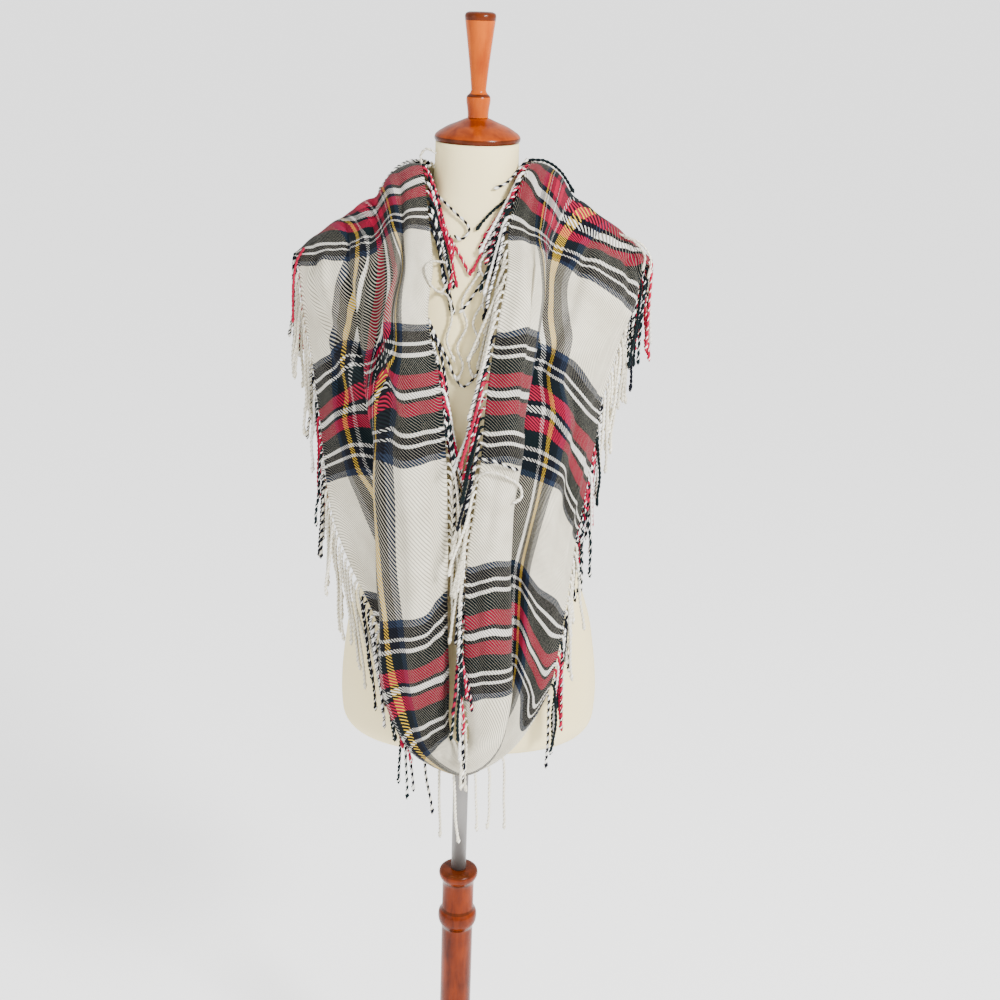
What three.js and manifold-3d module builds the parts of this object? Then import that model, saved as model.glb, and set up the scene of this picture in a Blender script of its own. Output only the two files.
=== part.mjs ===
// A fringed infinity scarf worn as one loop on a limbless dress form with a turned wooden stand.
// Millimetres, +Z up, the front faces -Y, origin on the floor under the middle of the base.
import * as THREE from 'three';
import { mergeVertices } from 'three/addons/utils/BufferGeometryUtils.js';
import Module from 'manifold-3d';

const wasm = await Module();
wasm.setup();

// Stand
const baseRadius = 160;
const baseHeight = 34;
const collarRadius = 46;
const shaftRadius = 21.7;
const beadRadius = 26.8;
const postTop = 518;
const postRingHeight = 441;
const poleRadius = 10.2;

// Dress form
const torsoBottom = 742;
const torsoTop = 1500;
const bottomRounding = 32;
const sectionPower = 2.2;
const torsoSegments = 24;

// Neck cap and finial
const capRadius = 49.5;
const capTop = 1526;
const finialTop = 1641;

// Scarf
const clothWall = 1.4;
const seamGap = 0.4;
const bodyClearance = 2.3;
const seatClearance = 0.8;
const seatX = 141;
const seatY = 4;
const seatSpread = 22;
const stationStep = 34;
const acrossSamples = 24;
const acrossStep = 0.02;
const smoothPasses = 3;
const longSpan = 28;

// Search for the free side of the form
const probeStep = 0.5;
const pushPasses = 6;
const longestPush = 12;

// Fringe
const strandLength = 104;
const strandRadius = 1.5;
const strandSides = 3;
const strandStep = 24;
const stripWidth = 3.7;
const stripThickness = 3.4;
const stripGap = 0.6;
const stripEndGap = 0.6;
const strandClearance = 4.5;
const strandBends = [
  { turn: 0.25, share: 0.13 },
  { turn: 0.85, share: 0.35 },
  { turn: 1, share: 0.52 },
];
const thrownHeight = 5.2;
const thrownPoints = 5;

// Gap between pieces that touch
const gap = 0.3;

const down = new THREE.Vector3(0, 0, -1);

// Dress form sections from the bottom up: half width, depth to the front and back, side lean
const torsoRows = [
  { z: 742, halfWidth: 163, front: 101, back: 108, lean: 7 },
  { z: 800, halfWidth: 166, front: 104, back: 112, lean: 7 },
  { z: 890, halfWidth: 157, front: 101, back: 108, lean: 6 },
  { z: 960, halfWidth: 138, front: 93, back: 96, lean: 5 },
  { z: 1040, halfWidth: 117, front: 85, back: 82, lean: 4 },
  { z: 1130, halfWidth: 130, front: 104, back: 90, lean: 2 },
  { z: 1210, halfWidth: 147, front: 118, back: 97, lean: 0 },
  { z: 1290, halfWidth: 172, front: 107, back: 103, lean: 0 },
  { z: 1338, halfWidth: 190, front: 95, back: 100, lean: 0 },
  { z: 1352, halfWidth: 187, front: 90, back: 96, lean: 0 },
  { z: 1366, halfWidth: 174, front: 84, back: 91, lean: 0 },
  { z: 1380, halfWidth: 155, front: 78, back: 85, lean: 0 },
  { z: 1393, halfWidth: 134, front: 71, back: 79, lean: 0 },
  { z: 1406, halfWidth: 108, front: 65, back: 72, lean: 0 },
  { z: 1418, halfWidth: 82, front: 60, back: 65, lean: 0 },
  { z: 1430, halfWidth: 63, front: 55, back: 58, lean: 0 },
  { z: 1446, halfWidth: 52, front: 51, back: 52, lean: 0 },
  { z: 1470, halfWidth: 48.5, front: 48.5, back: 48.5, lean: 0 },
  { z: 1500, halfWidth: 48, front: 48, back: 48, lean: 0 },
];

// Scarf sections, from the middle of the back round to the bottom turn. weft is the place in the
// woven repeat. inner is the edge by the neck as x, y, z, and outer the edge on the shoulders. lean
// and forward say how far the inner fringe falls sideways and to the front as it hangs.
const middleBack = { weft: -150, lean: 0, forward: 0, inner: [0, 64, 1452], outer: [0, 113, 1188] };
const bottomTurn = { weft: 750, lean: 0, forward: 0.5, inner: [4, -136, 800], outer: [8, -130, 749] };
const leftRows = [
  { weft: -85, lean: 0, forward: 0, inner: [-36, 54, 1457], outer: [-108, 103, 1218] },
  { weft: -30, lean: 0, forward: 0, inner: [-56, 28, 1464], outer: [-184, 62, 1300] },
  { weft: 15, lean: 0.4, forward: 0.45, inner: [-62, -4, 1470], outer: [-208, 12, 1358] },
  { weft: 50, lean: 0.4, forward: 0.35, inner: [-58, -34, 1468], outer: [-207, -10, 1362] },
  { weft: 85, lean: 0.3, forward: 0.12, inner: [-50, -66, 1425], outer: [-203, -16, 1345] },
  { weft: 150, lean: 0.24, forward: 0, inner: [-42, -102, 1372], outer: [-197, -20, 1296] },
  { weft: 215, lean: 0.28, forward: 0, inner: [-45, -124, 1320], outer: [-188, -25, 1243] },
  { weft: 300, lean: 0.17, forward: 0, inner: [-28, -134, 1238], outer: [-174, -40, 1155] },
  { weft: 385, lean: 0.17, forward: 0, inner: [-25, -135, 1156], outer: [-155, -68, 1072] },
  { weft: 450, lean: 0.15, forward: 0, inner: [-23, -134, 1065], outer: [-130, -92, 1010] },
  { weft: 515, lean: 0.1, forward: 0, inner: [-21, -133, 973], outer: [-108, -108, 948] },
  { weft: 600, lean: 0.1, forward: 0, inner: [-16, -133, 872], outer: [-86, -118, 850] },
  { weft: 665, lean: 0.1, forward: 0, inner: [-10, -135, 818], outer: [-50, -126, 780] },
];
const rightRows = [
  { weft: -85, lean: 0, forward: 0, inner: [36, 54, 1457], outer: [108, 103, 1218] },
  { weft: -30, lean: 0, forward: 0, inner: [56, 28, 1466], outer: [184, 62, 1306] },
  { weft: 15, lean: -0.5, forward: 0.45, inner: [61, -4, 1475], outer: [206, 12, 1368] },
  { weft: 50, lean: -0.5, forward: 0.35, inner: [54, -36, 1470], outer: [200, -12, 1362] },
  { weft: 85, lean: -0.2, forward: 0.42, inner: [36, -72, 1420], outer: [184, -22, 1322] },
  { weft: 150, lean: -0.16, forward: 0.12, inner: [32, -104, 1370], outer: [170, -30, 1266] },
  { weft: 215, lean: -0.18, forward: 0, inner: [26, -124, 1313], outer: [156, -44, 1212] },
  { weft: 300, lean: -0.2, forward: 0, inner: [22, -134, 1240], outer: [142, -64, 1164] },
  { weft: 385, lean: -0.2, forward: 0, inner: [20, -135, 1160], outer: [126, -90, 1085] },
  { weft: 450, lean: -0.2, forward: 0, inner: [14, -134, 1098], outer: [120, -98, 1040] },
  { weft: 515, lean: -0.14, forward: 0, inner: [8, -134, 1036], outer: [116, -104, 995] },
  { weft: 600, lean: -0.1, forward: 0.3, inner: [7, -136, 946], outer: [108, -112, 918] },
  { weft: 685, lean: -0.05, forward: 0.45, inner: [10, -136, 872], outer: [98, -118, 855] },
  { weft: 725, lean: 0, forward: 0.5, inner: [16, -136, 818], outer: [62, -126, 782] },
];

// Folds across the cloth. clothAt counts millimetres of cloth from the inner edge; across is the
// place between the two edge lines, and lift the height above the form.
const clothAt = [0, 28, 55, 70, 84, 106, 130, 142, 160, 195, 224, 250, 300, 345];
const backFolds = {
  weft: -150,
  across: [0, 0.08, 0.16, 0.21, 0.26, 0.33, 0.4, 0.44, 0.5, 0.6, 0.68, 0.75, 0.88, 1],
  lift: [3, 11, 14, 10, 5, 8, 14, 13, 6, 10, 14, 7, 9, 3],
};
const ridgeFolds = {
  weft: 15,
  across: [0, 0.07, 0.16, 0.22, 0.28, 0.35, 0.43, 0.48, 0.53, 0.63, 0.71, 0.78, 0.9, 1],
  lift: [3, 11, 14, 12, 6, 2, 9, 8, 0, 10, 7, 2, 8, 2],
};
const turnFolds = {
  weft: 750,
  across: [0, 0.16, 0.38, 0.52, 0.66, 0.78, 0.82, 0.7, 0.54, 0.42, 0.48, 0.64, 0.95, 1.04],
  lift: [17, 27, 32, 31, 29, 24, 17, 14, 12, 8, 3.5, 3, 4, 3],
};
const leftFolds = [
  backFolds,
  ridgeFolds,
  {
    weft: 225,
    across: [0, 0.06, 0.16, 0.22, 0.29, 0.37, 0.45, 0.5, 0.56, 0.63, 0.69, 0.75, 0.88, 1],
    lift: [4, 27, 38, 36, 28, 13, 22, 19, 13, 8, 4, 6, 14, 3],
  },
  {
    weft: 270,
    across: [0, 0.08, 0.21, 0.28, 0.36, 0.46, 0.56, 0.62, 0.655, 0.66, 0.65, 0.69, 0.85, 1.01],
    lift: [4, 26, 37, 36, 30, 25, 24, 20, 15, 9.5, 4, 2.5, 8, 3],
  },
  {
    weft: 340,
    across: [0, 0.11, 0.3, 0.4, 0.5, 0.65, 0.78, 0.83, 0.79, 0.68, 0.6, 0.63, 0.82, 1.05],
    lift: [5, 23, 33, 32, 28, 26, 23, 16.5, 11, 10, 8, 2.5, 3, 3],
  },
  {
    weft: 430,
    across: [0, 0.14, 0.37, 0.49, 0.61, 0.8, 0.97, 1.03, 0.94, 0.62, 0.38, 0.42, 0.78, 1.1],
    lift: [6, 20, 30, 30, 29, 28, 24, 17, 11, 11, 9.5, 3.5, 2, 3],
  },
  {
    weft: 610,
    across: [0, 0.14, 0.37, 0.49, 0.61, 0.8, 0.97, 1.03, 0.94, 0.62, 0.38, 0.42, 0.78, 1.1],
    lift: [8, 21, 30, 31, 30, 28, 24, 17, 11, 11, 9.5, 3.5, 2, 3],
  },
  turnFolds,
];
const rightFolds = [
  backFolds,
  ridgeFolds,
  {
    weft: 100,
    across: [0, 0.09, 0.2, 0.26, 0.29, 0.3, 0.31, 0.33, 0.37, 0.5, 0.6, 0.68, 0.84, 1],
    lift: [8, 20, 25, 22, 17, 12, 7, 4, 2, 6, 10, 5, 10, 3],
  },
  {
    weft: 160,
    across: [0, 0.095, 0.22, 0.29, 0.325, 0.3, 0.25, 0.22, 0.26, 0.44, 0.54, 0.62, 0.81, 1],
    lift: [14, 28, 31, 27, 20, 14, 10, 6, 2, 5, 12, 7, 12, 3],
  },
  {
    weft: 225,
    across: [0, 0.1, 0.24, 0.32, 0.35, 0.27, 0.12, 0.06, 0.12, 0.38, 0.47, 0.56, 0.78, 1],
    lift: [19, 34, 35, 28, 18, 11, 10, 6, 2, 5, 15, 9, 14, 3],
  },
  {
    weft: 430,
    across: [0, 0.18, 0.42, 0.52, 0.56, 0.42, 0.18, 0.1, 0.18, 0.55, 0.66, 0.76, 0.95, 1.08],
    lift: [19, 31, 32, 26, 17, 11, 10, 6, 1, 4, 14, 13, 12, 3],
  },
  {
    weft: 640,
    across: [0, 0.18, 0.42, 0.52, 0.56, 0.42, 0.18, 0.1, 0.18, 0.55, 0.66, 0.76, 0.95, 1.08],
    lift: [19, 31, 32, 26, 17, 11, 10, 6, 1, 4, 14, 13, 12, 3],
  },
  {
    weft: 690,
    across: [0, 0.18, 0.41, 0.53, 0.6, 0.52, 0.34, 0.26, 0.33, 0.54, 0.64, 0.74, 0.96, 1.07],
    lift: [18, 30, 32, 28, 20, 13, 11.5, 7, 2, 4, 9, 10, 10, 3],
  },
  {
    weft: 722,
    across: [0, 0.17, 0.4, 0.53, 0.65, 0.68, 0.6, 0.46, 0.36, 0.38, 0.5, 0.66, 0.96, 1.05],
    lift: [17.5, 28, 32, 30, 25, 19, 15, 13, 9.5, 4, 3, 4, 6, 3],
  },
  turnFolds,
];

// Materials
const finish = {
  cloth: new THREE.MeshStandardMaterial({ color: 0xe9e4da, roughness: 0.95, metalness: 0 }),
  yarn: new THREE.MeshStandardMaterial({ color: 0x3a2a30, roughness: 0.95, metalness: 0 }),
  jersey: new THREE.MeshStandardMaterial({ color: 0xe8e0cf, roughness: 0.9, metalness: 0 }),
  wood: new THREE.MeshStandardMaterial({ color: 0xb35a1c, roughness: 0.3, metalness: 0 }),
  steel: new THREE.MeshStandardMaterial({ color: 0x8c8a86, roughness: 0.25, metalness: 1 }),
};

// Smooth value of one column of a table at a place along its key, without overshoot
function column(rows, key, name, at) {
  const last = rows.length - 1;
  const place = THREE.MathUtils.clamp(at, rows[0][key], rows[last][key]);
  let i = 0;
  while (i < last - 1 && rows[i + 1][key] < place) i += 1;
  const slope = (k) => {
    if (k <= 0 || k >= last) return 0;
    const before = (rows[k][name] - rows[k - 1][name]) / (rows[k][key] - rows[k - 1][key]);
    const after = (rows[k + 1][name] - rows[k][name]) / (rows[k + 1][key] - rows[k][key]);
    return before * after <= 0 ? 0 : (2 * before * after) / (before + after);
  };
  const span = rows[i + 1][key] - rows[i][key];
  const t = (place - rows[i][key]) / span;
  const a = rows[i][name];
  const b = rows[i + 1][name];
  const rise = t * t * (3 - 2 * t);
  const startPull = t * (1 - t) * (1 - t) * span * slope(i);
  const endPull = t * t * (t - 1) * span * slope(i + 1);
  return a + (b - a) * rise + startPull + endPull;
}

// Half width and depths of the dress form at a height, with its bottom corner rounded
function torsoSection(z) {
  const depth = THREE.MathUtils.clamp(torsoBottom + bottomRounding - z, 0, bottomRounding);
  const inset = bottomRounding - Math.sqrt(bottomRounding ** 2 - depth ** 2);
  return {
    halfWidth: column(torsoRows, 'z', 'halfWidth', z) - inset,
    front: column(torsoRows, 'z', 'front', z) - inset,
    back: column(torsoRows, 'z', 'back', z) - inset,
    lean: column(torsoRows, 'z', 'lean', z),
  };
}

// Positive outside the dress form, negative inside, about in units of its half width
function outsideTorso(point) {
  const section = torsoSection(point.z);
  const depth = point.y < 0 ? section.front : section.back;
  const wide = Math.abs(point.x - section.lean) / section.halfWidth;
  const deep = Math.abs(point.y) / depth;
  return (wide ** sectionPower + deep ** sectionPower) ** (1 / sectionPower) - 1;
}

// Free height of the cloth over the form: less where it lies on the top of each shoulder
function clothClearance(point) {
  const along = Math.abs(point.x) - seatX;
  const off = Math.hypot(along, point.y - seatY);
  return bodyClearance - (bodyClearance - seatClearance) * Math.exp(-((off / seatSpread) ** 2));
}

// Moves a point out of the dress form until it is the given distance away
function keepClear(point, distance) {
  if (point.z < torsoBottom || point.z > torsoTop) return point;
  for (let pass = 0; pass < pushPasses; pass += 1) {
    const slope = new THREE.Vector3();
    for (const axis of ['x', 'y', 'z']) {
      const ahead = point.clone();
      const behind = point.clone();
      ahead[axis] += probeStep;
      behind[axis] -= probeStep;
      slope[axis] = (outsideTorso(ahead) - outsideTorso(behind)) / (2 * probeStep);
    }
    const steep = Math.max(slope.length(), 1e-6);
    const away = outsideTorso(point) / steep;
    if (away >= distance) return point;
    point.addScaledVector(slope, Math.min(distance - away, longestPush) / steep);
  }
  return point;
}

// Closed body from flat lists of positions and corners, turned right side out
function solid(points, faces) {
  const geometry = new THREE.BufferGeometry();
  const flat = points.flatMap((p) => [p.x, p.y, p.z]);
  geometry.setAttribute('position', new THREE.Float32BufferAttribute(flat, 3));
  let volume = 0;
  for (const [a, b, c] of faces) {
    volume += points[a].dot(new THREE.Vector3().crossVectors(points[b], points[c]));
  }
  const index = volume < 0 ? faces.flatMap(([a, b, c]) => [a, c, b]) : faces.flat();
  geometry.setIndex(index);
  return geometry;
}

function piece(name, geometry, material) {
  const mesh = new THREE.Mesh(geometry, material);
  mesh.name = name;
  return mesh;
}

// Body through closed rings of equal length, capped flat at both ends
function loft(rings) {
  const count = rings[0].length;
  const points = rings.flat();
  const faces = [];
  for (let r = 0; r < rings.length - 1; r += 1) {
    for (let i = 0; i < count; i += 1) {
      const a = r * count + i;
      const b = r * count + ((i + 1) % count);
      faces.push([a, b, b + count], [a, b + count, a + count]);
    }
  }
  for (const end of [0, rings.length - 1]) {
    for (let i = 1; i < count - 1; i += 1) {
      const corner = [end * count, end * count + i, end * count + i + 1];
      faces.push(end === 0 ? [corner[0], corner[2], corner[1]] : corner);
    }
  }
  return solid(points, faces);
}

function makeTorso() {
  const heights = [];
  for (let i = 0; i <= 4; i += 1) {
    heights.push(torsoBottom + bottomRounding * (1 - Math.cos((i * Math.PI) / 8)));
  }
  heights.push(815, 860, 905, 950, 995, 1040, 1085, 1130, 1170, 1210, 1250, 1290, 1318);
  heights.push(1338, 1352, 1366, 1380, 1393, 1406, 1418, 1430, 1446, 1470, torsoTop);
  const rings = heights.map((z) => {
    const section = torsoSection(z);
    const ring = [];
    for (let i = 0; i < torsoSegments; i += 1) {
      const angle = (i / torsoSegments) * 2 * Math.PI;
      const c = Math.cos(angle);
      const s = Math.sin(angle);
      const depth = s < 0 ? section.front : section.back;
      const x = section.lean + section.halfWidth * Math.sign(c) * Math.abs(c) ** (2 / sectionPower);
      ring.push(new THREE.Vector3(x, depth * Math.sign(s) * Math.abs(s) ** (2 / sectionPower), z));
    }
    return ring;
  });
  return loft(rings);
}

// Turned piece from rows of radius and height, standing on the Z axis
function turned(profile, segments) {
  const points = profile.map(([radius, height]) => new THREE.Vector2(radius, height));
  return new THREE.LatheGeometry(points, segments).rotateX(Math.PI / 2);
}

function makeBase() {
  return turned([
    [0, 0], [baseRadius - 4, 0], [baseRadius, 4], [baseRadius, 14], [baseRadius - 8, 21],
    [baseRadius - 18, 24], [collarRadius + 20, baseHeight - 3], [collarRadius + 6, baseHeight],
    [0, baseHeight],
  ], 32);
}

function makePost() {
  const foot = baseHeight + gap;
  return turned([
    [0, foot], [collarRadius, foot], [collarRadius, foot + 8], [collarRadius - 10, foot + 20],
    [shaftRadius + 4, foot + 36], [shaftRadius, foot + 52],
    [shaftRadius, postRingHeight - 16], [beadRadius - 1.4, postRingHeight - 9],
    [beadRadius, postRingHeight], [beadRadius - 1.4, postRingHeight + 8],
    [shaftRadius, postRingHeight + 14], [shaftRadius, postTop - 22],
    [beadRadius - 2, postTop - 15], [beadRadius, postTop - 7], [beadRadius - 1.8, postTop - 2],
    [beadRadius - 6, postTop], [0, postTop],
  ], 20);
}

function makePole() {
  const length = torsoBottom - postTop - 2 * gap;
  const tube = new THREE.CylinderGeometry(poleRadius, poleRadius, length, 20);
  return tube.rotateX(Math.PI / 2).translate(0, 0, (torsoBottom + postTop) / 2);
}

function makeCap() {
  const foot = torsoTop + gap;
  return turned([
    [0, foot], [capRadius - 1.5, foot], [capRadius, foot + 2.5], [capRadius - 0.6, foot + 6.5],
    [capRadius - 5, foot + 10], [36, foot + 16], [24, capTop - 5], [14, capTop], [0, capTop],
  ], 24);
}

function makeFinial() {
  const foot = capTop + gap;
  return turned([
    [0, foot], [11.8, foot], [12.4, 1536], [13.7, 1546], [12.6, 1551.5], [9.2, 1554], [8.6, 1558],
    [11, 1582], [14.8, 1614], [17.6, 1634], [17.6, 1637.5], [15.5, 1640], [9, finialTop], [0, finialTop],
  ], 20);
}

// All scarf sections in order round the loop, each with the fold table of its side
function loopRows() {
  const left = leftRows.map((row) => ({ ...row, folds: leftFolds }));
  const right = rightRows.map((row) => ({ ...row, folds: rightFolds })).reverse();
  return [
    { ...middleBack, folds: leftFolds },
    ...left,
    { ...bottomTurn, folds: leftFolds },
    ...right,
  ];
}

// Catmull-Rom value between rows of the closed loop
function aroundLoop(rows, value, i, t) {
  const n = rows.length;
  const p = [i - 1, i, i + 1, i + 2].map((k) => value(rows[(k + n) % n]));
  const a = 2 * p[1];
  const b = p[2] - p[0];
  const c = 2 * p[0] - 5 * p[1] + 4 * p[2] - p[3];
  const d = -p[0] + 3 * p[1] - 3 * p[2] + p[3];
  return 0.5 * (a + b * t + c * t * t + d * t * t * t);
}

function edgePoint(rows, edge, i, t) {
  return new THREE.Vector3(...[0, 1, 2].map((axis) => aroundLoop(rows, (row) => row[edge][axis], i, t)));
}

// Stations about one step apart: both edge points, the place in the weave and the fold table
function makeStations() {
  const rows = loopRows();
  const made = [];
  rows.forEach((row, i) => {
    const next = rows[(i + 1) % rows.length];
    const inner = new THREE.Vector3(...next.inner).distanceTo(new THREE.Vector3(...row.inner));
    const outer = new THREE.Vector3(...next.outer).distanceTo(new THREE.Vector3(...row.outer));
    const steps = Math.max(1, Math.round((inner + outer) / 2 / stationStep));
    for (let k = 0; k < steps; k += 1) {
      const t = k / steps;
      made.push({
        row: i + t,
        weft: row.weft + (next.weft - row.weft) * t,
        lean: row.lean + (next.lean - row.lean) * t,
        forward: row.forward + (next.forward - row.forward) * t,
        folds: i < leftRows.length + 1 ? leftFolds : rightFolds,
        inner: edgePoint(rows, 'inner', i, t),
        outer: edgePoint(rows, 'outer', i, t),
      });
    }
  });
  return made;
}

// The surface the folds stand on: from edge to edge, pushed clear of the form
function baseLine(station) {
  const line = [];
  for (let j = 0; j <= acrossSamples; j += 1) {
    const point = station.inner.clone().lerp(station.outer, j / acrossSamples);
    line.push(keepClear(point, clothClearance(point)));
  }
  for (let pass = 0; pass < smoothPasses; pass += 1) {
    for (let j = 1; j < acrossSamples; j += 1) {
      const middle = line[j - 1].clone().add(line[j + 1]).multiplyScalar(0.5);
      line[j].lerp(middle, 0.5);
      keepClear(line[j], clothClearance(line[j]));
    }
  }
  return line;
}

// Point on a base line at a share of its width, carried on straight past either end
function onLine(line, share) {
  const place = share * acrossSamples;
  const j = THREE.MathUtils.clamp(Math.floor(place), 0, acrossSamples - 1);
  return line[j].clone().addScaledVector(line[j + 1].clone().sub(line[j]), place - j);
}

// Cloth points of one section: indices of the fold table, with long spans halved
function foldPlaces() {
  const places = [];
  clothAt.forEach((at, i) => {
    places.push(i);
    if (i + 1 < clothAt.length && clothAt[i + 1] - at > longSpan) places.push(i + 0.5);
  });
  return places;
}

function foldAt(folds, weft, place, name) {
  const i = Math.floor(place);
  const rows = folds.map((row) => {
    const list = row[name];
    if (place === i) return { weft: row.weft, value: list[i] };
    const before = list[Math.max(i - 1, 0)];
    const after = list[Math.min(i + 2, list.length - 1)];
    return { weft: row.weft, value: (9 * (list[i] + list[i + 1]) - before - after) / 16 };
  });
  return column(rows, 'weft', 'value', weft);
}

// Middle surface of the whole scarf: one row of points for each station round the loop
function makeSurface(stations) {
  const lines = stations.map(baseLine);
  const count = stations.length;
  const places = foldPlaces();
  return stations.map((station, s) => {
    const before = lines[(s + count - 1) % count];
    const after = lines[(s + 1) % count];
    return places.map((place) => {
      const share = foldAt(station.folds, station.weft, place, 'across');
      const lift = foldAt(station.folds, station.weft, place, 'lift');
      const held = THREE.MathUtils.clamp(share, acrossStep, 1 - acrossStep);
      const along = onLine(after, held).sub(onLine(before, held));
      const across = onLine(lines[s], held + acrossStep).sub(onLine(lines[s], held - acrossStep));
      const normal = new THREE.Vector3().crossVectors(across, along).normalize();
      const point = onLine(lines[s], share).addScaledVector(normal, lift);
      return keepClear(point, clothClearance(point));
    });
  });
}

function surfaceNormals(surface) {
  const rows = surface.length;
  return surface.map((line, s) => line.map((point, k) => {
    const along = surface[(s + 1) % rows][k].clone().sub(surface[(s + rows - 1) % rows][k]);
    const across = line[Math.min(k + 1, line.length - 1)].clone().sub(line[Math.max(k - 1, 0)]);
    return new THREE.Vector3().crossVectors(across, along).normalize();
  }));
}

// Cloth wall over a run of stations, drawn back at both ends to leave the seam gap
function clothWallSolid(from, to) {
  const total = surface.length;
  const rows = [];
  for (let s = from; s <= to; s += 1) {
    const at = ((s % total) + total) % total;
    const neighbour = s === from ? (at + 1) % total : (at + total - 1) % total;
    const pull = s === from || s === to ? seamGap / 2 : 0;
    rows.push(surface[at].map((point, k) => {
      const moved = point.clone();
      if (pull > 0) {
        const step = surface[neighbour][k].clone().sub(point);
        moved.addScaledVector(step.normalize(), pull);
      }
      return { point: moved, normal: normals[at][k] };
    }));
  }
  const wide = rows[0].length;
  const rings = rows.map((row) => {
    const top = row.map(({ point, normal }) => point.clone().addScaledVector(normal, clothWall / 2));
    const under = row.map(({ point, normal }) => point.clone().addScaledVector(normal, -clothWall / 2));
    return [...top, ...under.reverse()];
  });
  const points = rings.flat();
  const ring = 2 * wide;
  const shortWay = (r, k) => {
    const rising = rows[r][k].point.distanceTo(rows[r + 1][k + 1].point);
    return rising <= rows[r][k + 1].point.distanceTo(rows[r + 1][k].point);
  };
  const faces = [];
  for (let r = 0; r < rings.length - 1; r += 1) {
    for (let i = 0; i < ring; i += 1) {
      const a = r * ring + i;
      const b = r * ring + ((i + 1) % ring);
      const k = Math.min(i < wide ? i : ring - 2 - i, wide - 2);
      if (shortWay(r, Math.max(k, 0)) === i < wide) faces.push([a, b, b + ring], [a, b + ring, a + ring]);
      else faces.push([a, b, a + ring], [b, b + ring, a + ring]);
    }
  }
  for (const end of [0, rings.length - 1]) {
    for (let k = 0; k < wide - 1; k += 1) {
      const a = end * ring + k;
      const d = end * ring + (ring - 1 - k);
      const sides = [[a, d, d - 1], [a, d - 1, a + 1]];
      for (const side of sides) faces.push(end === 0 ? side : [side[0], side[2], side[1]]);
    }
  }
  return solid(points, faces);
}

const stations = makeStations();
const surface = makeSurface(stations);
const normals = surfaceNormals(surface);

// The line along one edge of the cloth over a run of stations: point, way out and normal
function edgeLine(edge, from, to) {
  const line = [];
  for (let s = from; s <= to; s += 1) {
    const at = ((s % stations.length) + stations.length) % stations.length;
    const row = surface[at];
    const k = edge === 'inner' ? 0 : row.length - 1;
    const within = edge === 'inner' ? 1 : row.length - 2;
    const way = row[k].clone().sub(row[within]).normalize();
    line.push({ at, point: row[k].clone(), way, normal: normals[at][k] });
  }
  for (const [end, inside] of [[0, 1], [line.length - 1, line.length - 2]]) {
    const step = line[inside].point.clone().sub(line[end].point).normalize();
    line[end].point.addScaledVector(step, stripEndGap);
  }
  return line;
}

// Narrow strip beside the cloth's edge, which carries the roots of the strands
function stripBody(line) {
  const rings = line.map(({ point, way, normal }) => {
    const middle = point.clone().addScaledVector(way, stripGap + stripWidth / 2);
    return [[1, 1], [-1, 1], [-1, -1], [1, -1]].map(([across, up]) => middle.clone()
      .addScaledVector(way, (across * stripWidth) / 2)
      .addScaledVector(normal, (up * stripThickness) / 2));
  });
  return loft(rings);
}

// One strand: a thin three-sided yarn along its path
function strandBody(path, facing) {
  const rings = path.map((point, i) => {
    const before = path[Math.max(i - 1, 0)];
    const after = path[Math.min(i + 1, path.length - 1)];
    const along = after.clone().sub(before).normalize();
    const side = new THREE.Vector3().crossVectors(along, facing).normalize();
    const up = new THREE.Vector3().crossVectors(side, along).normalize();
    const ring = [];
    for (let k = 0; k < strandSides; k += 1) {
      const angle = (k / strandSides) * 2 * Math.PI;
      const spoke = side.clone().multiplyScalar(Math.cos(angle)).addScaledVector(up, Math.sin(angle));
      ring.push(point.clone().addScaledVector(spoke, strandRadius));
    }
    return ring;
  });
  return loft(rings);
}

// Path of a strand that leaves the edge and turns to the way in which it hangs
function hangingPath(root, way, hang) {
  const path = [root.clone()];
  for (const { turn, share } of strandBends) {
    const direction = way.clone().lerp(hang, turn).normalize();
    const next = path[path.length - 1].clone().addScaledVector(direction, share * strandLength);
    path.push(keepClear(next, strandClearance));
  }
  return path;
}

// Path of a strand thrown back over the outside of the cloth
function thrownPath(root, at) {
  const path = [root.clone()];
  for (let k = 0; k <= thrownPoints; k += 1) {
    path.push(surface[at][k].clone().addScaledVector(normals[at][k], thrownHeight));
  }
  return path;
}

function toManifold(geometry) {
  const bare = geometry.clone();
  bare.deleteAttribute('normal');
  bare.deleteAttribute('uv');
  const merged = mergeVertices(bare, 1e-5);
  return new wasm.Manifold(new wasm.Mesh({
    numProp: 3,
    vertProperties: new Float32Array(merged.attributes.position.array),
    triVerts: new Uint32Array(merged.index.array),
  }));
}

function fromManifold(body) {
  const mesh = body.getMesh();
  const geometry = new THREE.BufferGeometry();
  geometry.setAttribute('position', new THREE.BufferAttribute(mesh.vertProperties, 3));
  geometry.setIndex(new THREE.BufferAttribute(mesh.triVerts, 1));
  return geometry;
}

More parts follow.
